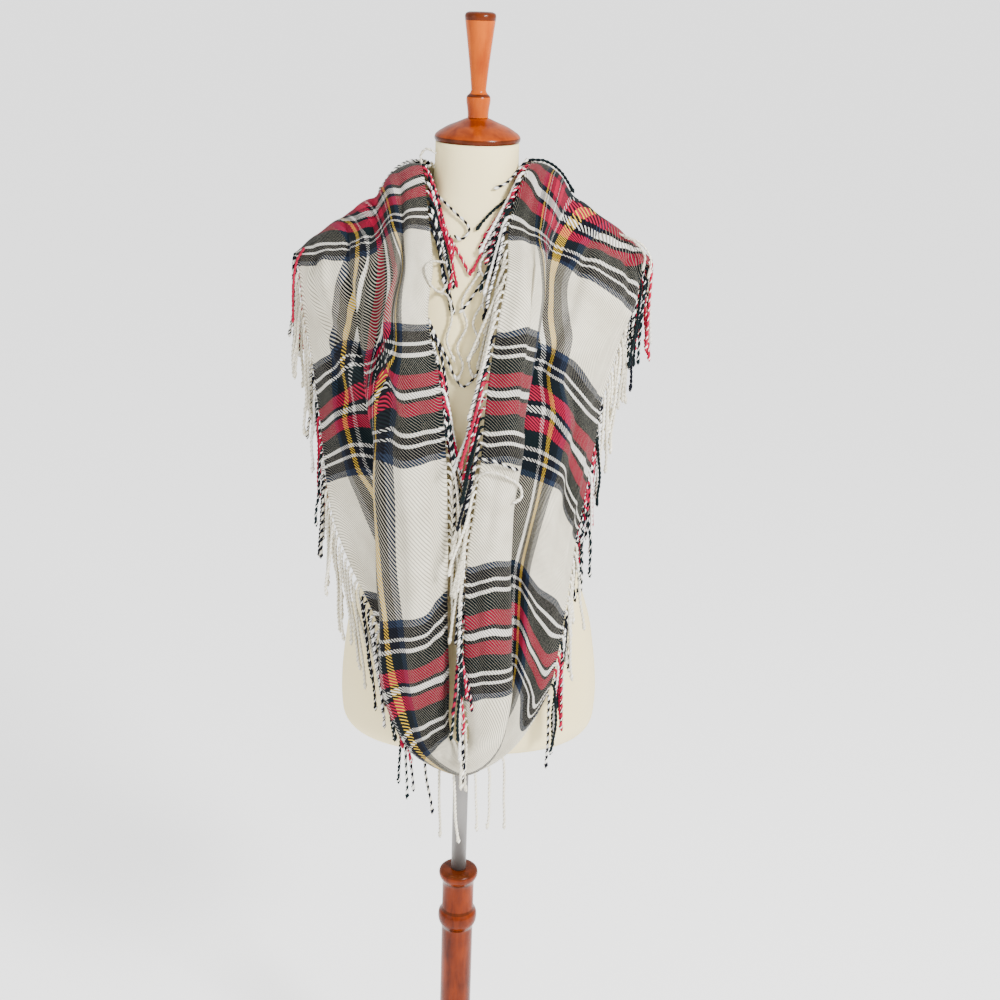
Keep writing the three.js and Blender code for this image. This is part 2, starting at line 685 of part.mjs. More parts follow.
// A strip with its strands, spaced evenly along the edge
function fringeBody({ edge, from, to, thrown }) {
  const line = edgeLine(edge, from, to);
  const bodies = [toManifold(stripBody(line))];
  let travelled = strandStep / 2;
  for (let i = 0; i < line.length - 1; i += 1) {
    const a = line[i];
    const b = line[i + 1];
    const length = a.point.distanceTo(b.point);
    for (; travelled < length; travelled += strandStep) {
      const t = travelled / length;
      const way = a.way.clone().lerp(b.way, t).normalize();
      const root = a.point.clone().lerp(b.point, t).addScaledVector(way, stripGap + stripWidth / 2);
      const station = stations[a.at];
      const forward = new THREE.Vector3(0, -station.forward, 0);
      const hang = down.clone();
      if (edge === 'inner') hang.add(new THREE.Vector3(station.lean, 0, 0)).add(forward);
      hang.normalize();
      if (!thrown) bodies.push(toManifold(strandBody(hangingPath(root, way, hang), a.normal)));
    }
    travelled -= length;
    if (thrown && i > 0) {
      const root = a.point.clone().addScaledVector(a.way, stripGap + stripWidth / 2);
      const facing = b.point.clone().sub(line[i - 1].point).normalize();
      bodies.push(toManifold(strandBody(thrownPath(root, a.at), facing)));
    }
  }
  return fromManifold(wasm.Manifold.union(bodies));
}

const part = new THREE.Group();
part.add(piece('base', makeBase(), finish.wood));
part.add(piece('post', makePost(), finish.wood));
part.add(piece('pole', makePole(), finish.steel));
part.add(piece('torso', makeTorso(), finish.jersey));
part.add(piece('neck_cap', makeCap(), finish.wood));
part.add(piece('finial', makeFinial(), finish.wood));

// Index of the first station at or past a table row
function stationAtRow(row) {
  return stations.findIndex((station) => station.row >= row - 1e-6);
}
const rowCount = loopRows().length;
const leftRidge = stationAtRow(3);
const leftLow = stationAtRow(12);
const rightLow = stationAtRow(rowCount - 13);
const rightRidge = stationAtRow(rowCount - 3);
const stretches = [
  { name: 'scarf_left_front', from: leftRidge, to: leftLow },
  { name: 'scarf_bottom_turn', from: leftLow, to: rightLow },
  { name: 'scarf_right_front', from: rightLow, to: rightRidge },
  { name: 'scarf_back_collar', from: rightRidge, to: leftRidge + stations.length },
];
for (const { name, from, to } of stretches) {
  part.add(piece(name, clothWallSolid(from, to), finish.cloth));
}

const fringes = [
  { name: 'fringe_left_outer', edge: 'outer', from: leftRidge, to: leftLow },
  { name: 'fringe_bottom_outer', edge: 'outer', from: leftLow, to: rightLow },
  { name: 'fringe_right_outer', edge: 'outer', from: rightLow, to: rightRidge },
  { name: 'fringe_back_outer', edge: 'outer', from: rightRidge, to: leftRidge + stations.length },
  { name: 'fringe_left_inner', edge: 'inner', from: leftRidge, to: stationAtRow(10) },
  { name: 'fringe_right_inner', edge: 'inner', from: stationAtRow(rowCount - 12), to: rightRidge },
  {
    name: 'fringe_back_inner',
    edge: 'inner',
    from: rightRidge,
    to: leftRidge + stations.length,
    thrown: true,
  },
];
for (const fringe of fringes) {
  part.add(piece(fringe.name, fringeBody(fringe), finish.yarn));
}

export default part;
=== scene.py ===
import math
import random

import bmesh
import bpy
import numpy as np
from mathutils import Matrix, Vector


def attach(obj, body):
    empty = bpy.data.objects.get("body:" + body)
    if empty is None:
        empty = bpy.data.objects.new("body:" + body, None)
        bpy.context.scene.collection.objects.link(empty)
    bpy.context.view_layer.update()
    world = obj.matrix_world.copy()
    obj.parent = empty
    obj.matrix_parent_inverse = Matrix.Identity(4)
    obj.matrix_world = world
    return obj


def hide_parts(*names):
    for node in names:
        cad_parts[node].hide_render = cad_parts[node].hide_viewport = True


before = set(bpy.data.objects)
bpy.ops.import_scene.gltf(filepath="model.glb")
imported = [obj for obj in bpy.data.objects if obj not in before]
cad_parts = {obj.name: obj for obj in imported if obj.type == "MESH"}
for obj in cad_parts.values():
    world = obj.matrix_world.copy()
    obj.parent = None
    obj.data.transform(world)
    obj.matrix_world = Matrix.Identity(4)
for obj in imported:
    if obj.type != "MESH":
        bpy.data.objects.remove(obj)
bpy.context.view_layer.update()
mm = 0.001


# Smooth curve through rows of values, which never swings past them
def steadyCurve(keys, values, at):
    keys = np.asarray(keys, float)
    values = np.asarray(values, float).reshape(len(keys), -1)
    span = np.diff(keys)[:, None]
    secant = np.diff(values, axis=0) / span
    before, after = secant[:-1], secant[1:]
    total = before + after
    safe = np.where(np.abs(total) < 1e-12, 1, total)
    slope = np.zeros_like(values)
    slope[1:-1] = np.where(before * after > 0, 2 * before * after / safe, 0)
    at = np.clip(np.asarray(at, float), keys[0], keys[-1])
    i = np.clip(np.searchsorted(keys, at) - 1, 0, len(keys) - 2)
    t = ((at - keys[i]) / (keys[i + 1] - keys[i]))[:, None]
    return (values[i] + (values[i + 1] - values[i]) * t * t * (3 - 2 * t)
            + t * (1 - t) ** 2 * span[i] * slope[i] + t * t * (t - 1) * span[i] * slope[i + 1])


# Rounder curve, whose slope at a row follows the rows on both sides
def roundCurve(keys, values, at):
    keys = np.asarray(keys, float)
    slope = np.zeros_like(values)
    slope[1:-1] = (values[2:] - values[:-2]) / (keys[2:] - keys[:-2])[:, None]
    slope[0] = (values[1] - values[0]) / (keys[1] - keys[0])
    slope[-1] = (values[-1] - values[-2]) / (keys[-1] - keys[-2])
    i = np.clip(np.searchsorted(keys, at) - 1, 0, len(keys) - 2)
    span = (keys[i + 1] - keys[i])[:, None]
    t = (np.asarray(at)[:, None] - keys[i][:, None]) / span
    return ((2 * t ** 3 - 3 * t ** 2 + 1) * values[i] + (t ** 3 - 2 * t ** 2 + t) * span * slope[i]
            + (3 * t ** 2 - 2 * t ** 3) * values[i + 1] + (t ** 3 - t ** 2) * span * slope[i + 1])


def newPiece(name, mesh):
    piece = bpy.data.objects.new(name, mesh)
    bpy.context.scene.collection.objects.link(piece)
    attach(piece, "root")
    return piece


# Size of the dress form, millimetres. The cloth and the fringe are kept clear of it
dressForm = {
    "bottom": 742,
    "top": 1500,
    "bottomRounding": 32,
    "sectionPower": 2.2,  # 2 is an ellipse, more is squarer
    "around": 112,  # points in a section
    "roundingSteps": 12,
    "ringStep": 6.0,  # between sections above the rounding
    "rows": [  # z, half width, depth to the front, depth to the back, side lean
        (742, 163, 101, 108, 7), (800, 166, 104, 112, 7), (890, 157, 101, 108, 6), (960, 138, 93, 96, 5),
        (1040, 117, 85, 82, 4), (1130, 130, 104, 90, 2), (1210, 147, 118, 97, 0), (1290, 172, 107, 103, 0),
        (1338, 190, 95, 100, 0), (1352, 187, 90, 96, 0), (1366, 174, 84, 91, 0), (1380, 155, 78, 85, 0),
        (1393, 134, 71, 79, 0), (1406, 108, 65, 72, 0), (1418, 82, 60, 65, 0), (1430, 63, 55, 58, 0),
        (1446, 52, 51, 52, 0), (1470, 48.5, 48.5, 48.5, 0), (1500, 48, 48, 48, 0),
    ],
}
torsoZ = np.arange(dressForm["bottom"], dressForm["top"] + 1.0)
torsoRows = np.array(dressForm["rows"], float)
torsoTable = steadyCurve(torsoRows[:, 0], torsoRows[:, 1:], torsoZ)
rounding = dressForm["bottomRounding"]
below = np.clip(dressForm["bottom"] + rounding - torsoZ, 0, rounding)
torsoTable[:, :3] -= (rounding - np.sqrt(rounding ** 2 - below ** 2))[:, None]


def torsoSection(z):  # half width, depth to the front, depth to the back, side lean
    return [np.interp(z, torsoZ, torsoTable[:, k]) for k in range(4)]


def outsideTorso(p):  # negative inside, zero on the form
    half, front, back, lean = torsoSection(p[..., 2])
    wide = np.abs(p[..., 0] - lean) / half
    deep = np.abs(p[..., 1]) / np.where(p[..., 1] < 0, front, back)
    power = dressForm["sectionPower"]
    return (wide ** power + deep ** power) ** (1 / power) - 1


# Pushes points out until they are a distance off the form
def keepClear(points, distance, rounds=6, probe=0.5, longestPush=12):
    p = np.array(points, float)
    beside = (p[..., 2] > dressForm["bottom"]) & (p[..., 2] < dressForm["top"])
    for _ in range(rounds):
        slope = np.zeros_like(p)
        for axis in range(3):
            step = np.zeros(3)
            step[axis] = probe
            slope[..., axis] = outsideTorso(p + step) - outsideTorso(p - step)
        steep = np.maximum(np.linalg.norm(slope, axis=-1), 1e-6)
        away = outsideTorso(p) / steep
        push = np.where(beside & (away < distance), np.minimum(distance - away, longestPush), 0)
        p += slope * (push / steep)[..., None]
    return p


# Materials
class Nodes:
    def __init__(self, name):
        self.material = bpy.data.materials.new(name)
        self.material.use_nodes = True
        self.tree = self.material.node_tree
        self.shader = self.tree.nodes["Principled BSDF"]

    def add(self, kind, inputs=(), **settings):
        node = self.tree.nodes.new(kind)
        for key, value in settings.items():
            setattr(node, key, value)
        for key, value in dict(inputs).items():
            self.put(node.inputs[key], value)
        return node

    def put(self, socket, value):
        if isinstance(value, bpy.types.NodeSocket):
            self.tree.links.new(value, socket)
        elif isinstance(value, bpy.types.Node):
            self.tree.links.new(value.outputs[0], socket)
        else:
            socket.default_value = value

    def math(self, operation, a, b=0.0, c=0.0):
        return self.add("ShaderNodeMath", {0: a, 1: b, 2: c}, operation=operation).outputs[0]

    def mix(self, factor, a, b, blend="MIX"):
        node = self.add("ShaderNodeMix", data_type="RGBA", blend_type=blend)
        self.put(node.inputs["Factor"], factor)
        self.put(node.inputs["A"], a)
        self.put(node.inputs["B"], b)
        return node.outputs["Result"]

    def darken(self, colour, by):
        return self.mix(1.0, colour, by, "MULTIPLY")

    def grey(self, value):
        return self.add("ShaderNodeCombineXYZ", {0: value, 1: value, 2: value}).outputs[0]

    def ramp(self, factor, stops, interpolation="LINEAR"):
        node = self.add("ShaderNodeValToRGB", {"Fac": factor})
        node.color_ramp.interpolation = interpolation
        elements = node.color_ramp.elements
        while len(elements) > 1:
            elements.remove(elements[-1])
        for i, (place, colour) in enumerate(stops):
            element = elements[0] if i == 0 else elements.new(place)
            element.position = place
            element.color = colour if len(colour) == 4 else (*colour, 1)
        return node.outputs["Color"]

    def noise(self, place, scale, **inputs):
        return self.add("ShaderNodeTexNoise", {"Vector": place, "Scale": scale, **inputs}).outputs["Fac"]

    def objectPlace(self):
        return self.add("ShaderNodeTexCoord").outputs["Object"]

    def bump(self, height, strength, distance):
        inputs = {"Height": height, "Strength": strength, "Distance": distance}
        return self.add("ShaderNodeBump", inputs).outputs[0]

    def principled(self, **values):
        for key, value in values.items():
            self.put(self.shader.inputs[key.replace("_", " ")], value)


# Weave of the checks, millimetres. A stripe starts at its distance from the middle of a band
weave = {
    "yarnWidth": 1.0,
    "twillYarns": 4.0,  # yarns in one diagonal line
    "bandRepeat": 300.0,
    "warpMiddle": 165.0,
    "warpReach": 200.0,
    "weft": [(0, "white"), (3.5, "black"), (9, "red"), (25.5, "green"), (46.5, "white"), (52, "black"),
             (60.5, "white"), (65, "black"), (77.5, "blue"), (85, "cream")],
    "warp": [(0, "white"), (2.5, "black"), (8, "red"), (24, "green"), (42.5, "white"), (47.5, "black"),
             (54.5, "yellow"), (62.5, "black"), (75, "blue"), (85, "cream")],
    "fringe": [(0, "white"), (4.5, "black"), (9, "red"), (25.5, "green"), (45.5, "white"), (53, "black"),
               (59.5, "white"), (64, "black"), (85, "cream")],
}
whiteCover = 0.3
yarnColours = {  # colour, and how far it covers a cream yarn that it crosses
    "cream": (0.87, 0.81, 0.645, 0.0),
    "white": (0.95, 0.925, 0.86, whiteCover),
    "black": (0.004, 0.005, 0.010, 1.0),
    "green": (0.003, 0.009, 0.011, 1.0),
    "red": (0.42, 0.004, 0.042, 1.0),
    "blue": (0.020, 0.031, 0.060, 0.8),
    "yellow": (0.84, 0.53, 0.035, 0.65),
}
twillLook = {
    "warpShown": 1.75,  # yarns of a diagonal line, where both yarns cover alike
    "strongerShown": 0.925,  # more of the yarn that covers better
    "unlikeShown": -0.225,  # less of the warp where the two differ
    "unlikePaintedShade": -0.5,  # painted shade: both yarns darker where a light yarn and a dark one cross
    "underWhiteDarker": -0.55,  # the warp lies in shade between white weft yarns
    # painted shade in the twill's diagonal grooves between floats
    "groovePaintedShade": (0.2, 0.2, 0.2),
    "grooveEdges": (0.2, 0.7),
    "speckScale": 900.0,
    "speckStops": [(0.3, (0.80, 0.80, 0.80)), (0.7, (1.0, 1.0, 1.0))],
    # soft blotches: uneven nap, and painted shade standing in for broad fold shading
    "napAndShadeScale": 22.0,
    "napAndShadeStops": [(0.35, (0.84, 0.83, 0.81)), (0.62, (1.0, 1.0, 1.0))],
    "bumpStrength": 0.5,
    "bumpDepth": 0.0006,
}


def stripeRamp(n, distance, stripes, reach):
    stops = [(at / reach, yarnColours[name]) for at, name in stripes]
    colour = n.ramp(n.math("DIVIDE", distance, reach), stops, "CONSTANT")
    return colour, colour.node.outputs["Alpha"]


def bandDistance(n, along):
    half = weave["bandRepeat"] / 2
    wrapped = n.math("FLOORED_MODULO", n.math("ADD", along, half), weave["bandRepeat"])
    return n.math("ABSOLUTE", n.math("SUBTRACT", wrapped, half))


def twillMaterial():
    look, yarnWidth = twillLook, weave["yarnWidth"]
    n = Nodes("twill")
    uv = n.add("ShaderNodeUVMap", uv_map="weave")
    split = n.add("ShaderNodeSeparateXYZ", {0: uv})
    across = n.math("MULTIPLY", split.outputs["X"], 1 / mm)
    along = n.math("MULTIPLY", split.outputs["Y"], 1 / mm)
    end = n.math("FLOOR", n.math("DIVIDE", across, yarnWidth))
    pick = n.math("FLOOR", n.math("DIVIDE", along, yarnWidth))
    endAt = n.math("MULTIPLY", n.math("ADD", end, 0.5), yarnWidth)
    pickAt = n.math("MULTIPLY", n.math("ADD", pick, 0.5), yarnWidth)
    fromMiddle = n.math("ABSOLUTE", n.math("SUBTRACT", endAt, weave["warpMiddle"]))
    warp, warpCover = stripeRamp(n, fromMiddle, weave["warp"], weave["warpReach"])
    weft, weftCover = stripeRamp(n, bandDistance(n, pickAt), weave["weft"], weave["bandRepeat"] / 2)
    diagonal = n.math("ADD", across, along)
    wale = n.math("FLOORED_MODULO", n.math("DIVIDE", diagonal, yarnWidth), weave["twillYarns"])
    unlike = n.math("SUBTRACT", warpCover, weftCover)
    shown = n.math("MULTIPLY_ADD", unlike, look["strongerShown"], look["warpShown"])
    shown = n.math("MULTIPLY_ADD", n.math("ABSOLUTE", unlike), look["unlikeShown"], shown)
    over = n.math("LESS_THAN", wale, shown)
    colour = n.mix(over, weft, warp)
    speck = n.noise(uv, look["speckScale"], Detail=2.0)
    colour = n.darken(colour, n.ramp(speck, look["speckStops"]))
    # Painted shade along the diagonal grooves between twill floats
    low, high = look["grooveEdges"]
    twillGrooveShade = [(0.0, look["groovePaintedShade"]), (low, (1, 1, 1)), (high, (1, 1, 1)), (1.0, look["groovePaintedShade"])]
    colour = n.darken(colour, n.ramp(n.math("DIVIDE", wale, weave["twillYarns"]), twillGrooveShade))
    # Painted shade: colour darkened where unlike yarns cross, and on the warp between white weft yarns
    paintedSunkShade = n.math("MULTIPLY_ADD", n.math("MULTIPLY", unlike, unlike), look["unlikePaintedShade"], 1.0)
    underWhite = n.math("MULTIPLY", over, n.math("COMPARE", weftCover, whiteCover, 0.05))
    paintedSunkShade = n.math("MULTIPLY", paintedSunkShade, n.math("MULTIPLY_ADD", underWhite, look["underWhiteDarker"], 1.0))
    colour = n.darken(colour, n.grey(paintedSunkShade))
    # Soft blotches, partly uneven nap and partly painted shade standing in for fold shading
    colour = n.darken(colour, n.ramp(n.noise(uv, look["napAndShadeScale"], Detail=2.0), look["napAndShadeStops"]))
    ridge = n.math("SINE", n.math("MULTIPLY", diagonal, math.pi / 2 / yarnWidth))
    height = n.math("ADD", n.math("MULTIPLY", ridge, 0.5), speck)
    n.principled(Base_Color=colour, Roughness=0.92, Sheen_Weight=0.06, Sheen_Roughness=0.5,
                 Specular_IOR_Level=0.05, Normal=n.bump(height, look["bumpStrength"], look["bumpDepth"]))
    return n.material


yarnLook = {
    "plyShift": 2.2,  # each ply takes its colour this far to one side of its root, millimetres
    "beadMiddle": 0.25,  # turns round the strand
    "beadHalf": 0.075,
    "beadAbove": 0.35,  # share of strands without a white bead
    # painted shade in the groove between the two plies
    "plyGrooveShadeStops": [(0.3, (1, 1, 1)), (0.5, (0.45, 0.45, 0.45))],
    "darkest": 0.78,
    "lighter": 0.3,
}


def yarnMaterial():
    look = yarnLook
    n = Nodes("fringeYarn")
    ply = n.add("ShaderNodeSeparateXYZ", {0: n.add("ShaderNodeUVMap", uv_map="ply")})
    root = n.add("ShaderNodeSeparateXYZ", {0: n.add("ShaderNodeUVMap", uv_map="root")})
    turn, tone = ply.outputs["X"], root.outputs["Y"]
    along = n.math("MULTIPLY", root.outputs["X"], 1 / mm)
    plies = []
    for side in ("SUBTRACT", "ADD"):
        distance = bandDistance(n, n.math(side, along, look["plyShift"]))
        plies.append(stripeRamp(n, distance, weave["fringe"], weave["bandRepeat"] / 2)[0])
    colour = n.mix(n.math("LESS_THAN", turn, 0.5), *plies)
    fromBead = n.math("ABSOLUTE", n.math("SUBTRACT", turn, look["beadMiddle"]))
    flecked = n.math("MULTIPLY", n.math("LESS_THAN", fromBead, look["beadHalf"]),
                     n.math("GREATER_THAN", tone, look["beadAbove"]))
    colour = n.mix(flecked, colour, yarnColours["white"])
    # Painted shade darkens the groove between the two plies
    inPly = n.math("FLOORED_MODULO", n.math("MULTIPLY", turn, 2.0), 1.0)
    gap = n.math("ABSOLUTE", n.math("SUBTRACT", inPly, 0.5))
    colour = n.darken(colour, n.ramp(gap, look["plyGrooveShadeStops"]))
    shade = n.math("ADD", n.math("MULTIPLY", tone, look["lighter"]), look["darkest"])
    colour = n.darken(colour, n.grey(shade))
    fibre = n.noise(n.objectPlace(), 1500.0)
    n.principled(Base_Color=colour, Roughness=0.85, Sheen_Weight=0.08, Specular_IOR_Level=0.06,
                 Normal=n.bump(fibre, 0.5, 0.0004))
    return n.material


jerseyLook = {
    "patchScale": 5.0,
    "patchStops": [(0.3, (0.87, 0.74, 0.40)), (0.7, (0.93, 0.81, 0.47))],
    "knitScale": 260.0,
}


def jerseyMaterial():
    n = Nodes("jersey")
    place = n.objectPlace()
    colour = n.ramp(n.noise(place, jerseyLook["patchScale"], Detail=3.0), jerseyLook["patchStops"])
    knit = n.add("ShaderNodeTexWave", {"Vector": place, "Scale": jerseyLook["knitScale"], "Distortion": 1.0},
                 bands_direction="Z")
    n.principled(Base_Color=colour, Roughness=0.85, Sheen_Weight=0.08, Specular_IOR_Level=0.1,
                 Normal=n.bump(knit.outputs["Fac"], 0.15, 0.0003))
    return n.material


woodLook = {
    "roughness": 0.25,
    "grainScale": 70.0,
    "grainStretch": (1.0, 1.0, 0.16),
    "grainShare": 0.6,
    "blotScale": 22.0,
    "blotShare": 0.4,
    "darkAt": 0.36,
    "lightAt": 0.62,
}


def woodMaterial(name, light, dark):
    look = woodLook
    n = Nodes(name)
    place = n.objectPlace()
    stretched = n.add("ShaderNodeMapping", {"Vector": place, "Scale": look["grainStretch"]})
    grain = n.noise(stretched, look["grainScale"], Detail=6.0, Distortion=0.6)
    blot = n.noise(place, look["blotScale"], Detail=3.0)
    mixed = n.math("MULTIPLY_ADD", blot, look["blotShare"], n.math("MULTIPLY", grain, look["grainShare"]))
    colour = n.ramp(mixed, [(look["darkAt"], dark), (look["lightAt"], light)])
    n.principled(Base_Color=colour, Roughness=look["roughness"], Coat_Weight=0.06, Coat_Roughness=0.06,
                 Specular_IOR_Level=0.12)
    return n.material


def steelMaterial():
    n = Nodes("poleSteel")
    n.principled(Base_Color=(0.24, 0.23, 0.22, 1.0), Metallic=1.0, Roughness=0.5)
    return n.material


twill = twillMaterial()
yarn = yarnMaterial()
jersey = jerseyMaterial()
honeyWood = woodMaterial("honeyWood", (0.46, 0.085, 0.0005), (0.25, 0.032, 0.0005))
capWood = woodMaterial("capWood", (0.32, 0.050, 0.001), (0.14, 0.017, 0.001))
postWood = woodMaterial("postWood", (0.19, 0.024, 0.0005), (0.06, 0.007, 0.0005))
rimWood = woodMaterial("rimWood", (0.10, 0.016, 0.002), (0.045, 0.008, 0.001))
steel = steelMaterial()
print("materials ready")

# Scarf, millimetres. A row is a section: place in the weave, inner edge, outer edge
scarfLoop = {
    "thick": 1.5,
    "offForm": 2.6,  # least distance from the form to the middle of the cloth
    "stationStep": 7.0,  # between sections along the loop
    "points": 104,  # across the cloth
    "baseSteps": 48,  # from the inner edge to the outer edge
    "baseSmoothing": 4,
    "loopSmoothing": 2,
    "rightFrom": 1500,  # twice the place of the bottom turn, because the right side counts on past it
    "middleBack": (-150, (0, 64, 1452), (0, 113, 1188)),
    "bottomTurn": (750, (4, -136, 800), (8, -130, 749)),
    "left": [
        (-85, (-36, 54, 1457), (-108, 103, 1218)),
        (-30, (-56, 28, 1464), (-184, 62, 1300)),
        (15, (-62, -4, 1470), (-208, 12, 1358)),
        (50, (-58, -34, 1468), (-207, -10, 1362)),
        (85, (-50, -66, 1425), (-203, -16, 1345)),
        (150, (-42, -102, 1372), (-197, -20, 1296)),
        (215, (-45, -124, 1320), (-188, -25, 1243)),
        (300, (-28, -134, 1238), (-174, -40, 1155)),
        (385, (-20, -135, 1156), (-155, -68, 1072)),
        (450, (-17, -134, 1065), (-130, -92, 1010)),
        (515, (-16, -133, 973), (-100, -110, 948)),
        (600, (-12, -133, 872), (-70, -120, 850)),
        (665, (-10, -135, 818), (-44, -127, 780)),
    ],
    "right": [
        (-85, (36, 54, 1457), (108, 103, 1218)),
        (-30, (56, 28, 1466), (184, 62, 1306)),
        (15, (61, -4, 1475), (206, 12, 1368)),
        (50, (54, -36, 1470), (200, -12, 1362)),
        (85, (36, -72, 1420), (184, -22, 1322)),
        (150, (32, -104, 1370), (170, -30, 1266)),
        (215, (20, -124, 1313), (156, -44, 1212)),
        (300, (12, -134, 1240), (142, -64, 1164)),
        (385, (10, -135, 1160), (126, -90, 1085)),
        (450, (5, -134, 1098), (120, -98, 1040)),
        (515, (-1, -134, 1036), (116, -104, 995)),
        (600, (-1, -136, 946), (108, -112, 918)),
        (685, (1, -136, 872), (98, -118, 855)),
        (725, (9, -136, 818), (62, -126, 782)),
    ],
}

# Folds: place in the weave, each point's share of the way to the outer edge, and its height
clothAt = np.array([0, 28, 55, 70, 84, 106, 130, 142, 160, 195, 224, 250, 300, 345], float)
backFolds = (-150, [0, .08, .16, .21, .26, .33, .4, .44, .5, .6, .68, .75, .88, 1],
             [3, 11, 14, 10, 7, 8, 11, 10, 7, 9, 10, 7, 7, 3])
ridgeFolds = (15, [0, .07, .16, .22, .28, .35, .43, .48, .53, .63, .71, .78, .9, 1],
              [3, 11, 14, 12, 7, 4, 6, 6, 5, 6, 6, 5, 4, 2])
turnFolds = (750, [0, .16, .38, .52, .66, .78, .82, .7, .54, .42, .48, .64, .95, 1.04],
             [17, 27, 32, 31, 29, 24, 17, 14, 12, 8, 3.5, 3, 4, 3])
folds = {
    "left": [
        backFolds,
        ridgeFolds,
        (225, [0, .06, .15, .21, .27, .34, .4, .44, .46, .47, .52, .6, .82, 1],
         [4, 27, 38, 36, 28, 17, 22, 19, 13, 6, 4, 7, 14, 3]),
        (270, [0, .07, .18, .24, .3, .38, .44, .47, .48, .46, .47, .57, .8, 1],
         [4, 26, 37, 36, 30, 25, 24, 20, 15, 9.5, 4, 6, 11, 3]),
        (340, [0, .09, .22, .29, .36, .44, .5, .53, .5, .42, .4, .5, .75, 1.03],
         [5, 23, 33, 32, 28, 26, 23, 16.5, 11, 8, 3, 4.5, 9, 3]),
        (430, [0, .1, .27, .36, .45, .56, .63, .66, .6, .42, .37, .45, .72, 1.06],
         [6, 20, 30, 30, 29, 28, 24, 17, 11, 9, 4, 4, 7, 3]),
        (500, [0, .13, .33, .45, .57, .73, .83, .86, .77, .51, .38, .44, .74, 1.06],
         [7, 21, 30, 31, 30, 28, 24, 17, 11, 10, 7, 4, 5, 3]),
        (610, [0, .18, .48, .64, .79, 1.03, 1.23, 1.3, 1.19, .78, .46, .46, .76, 1.06],
         [8, 21, 30, 31, 30, 28, 24, 17, 11, 11, 9.5, 3.5, 2, 3]),
        turnFolds,
    ],
    "right": [
        backFolds,
        ridgeFolds,
        (100, [0, .09, .2, .26, .29, .3, .31, .33, .37, .5, .6, .68, .84, 1],
         [8, 20, 25, 22, 17, 12, 7, 4, 2, 6, 10, 5, 10, 3]),
        (160, [0, .095, .22, .29, .325, .3, .25, .22, .26, .44, .54, .62, .81, 1],
         [14, 28, 31, 27, 20, 14, 10, 6, 2, 5, 12, 7, 12, 3]),
        (225, [0, .1, .24, .32, .35, .27, .12, .06, .12, .38, .47, .56, .78, 1],
         [19, 34, 35, 28, 18, 11, 10, 6, 2, 5, 15, 9, 14, 3]),
        (300, [0, .12, .27, .33, .35, .28, .14, .08, .14, .5, .62, .74, .93, 1.05],
         [19, 34, 34, 28, 19, 11, 10, 6, 2, 4, 14, 15, 9, 3]),
        (400, [0, .13, .28, .34, .36, .29, .15, .08, .14, .52, .64, .76, .95, 1.08],
         [19, 31, 32, 26, 17, 11, 10, 6, 1, 4, 14, 16, 9, 3]),
        (500, [0, .15, .32, .4, .42, .34, .17, .09, .16, .52, .63, .75, .94, 1.08],
         [19, 31, 32, 26, 17, 11, 10, 6, 1, 4, 14, 14, 11, 3]),
        (620, [0, .18, .4, .5, .53, .42, .18, .1, .18, .55, .66, .76, .95, 1.08],
         [19, 31, 32, 26, 17, 11, 10, 6, 1, 4, 14, 13, 12, 3]),
        (690, [0, .18, .41, .53, .6, .52, .34, .26, .33, .54, .64, .74, .96, 1.07],
         [18, 30, 32, 28, 20, 13, 11.5, 7, 2, 4, 9, 10, 10, 3]),
        (722, [0, .17, .4, .53, .65, .68, .6, .46, .36, .38, .5, .66, .96, 1.05],
         [17.5, 28, 32, 30, 25, 19, 15, 13, 9.5, 4, 3, 4, 6, 3]),
        turnFolds,
    ],
}

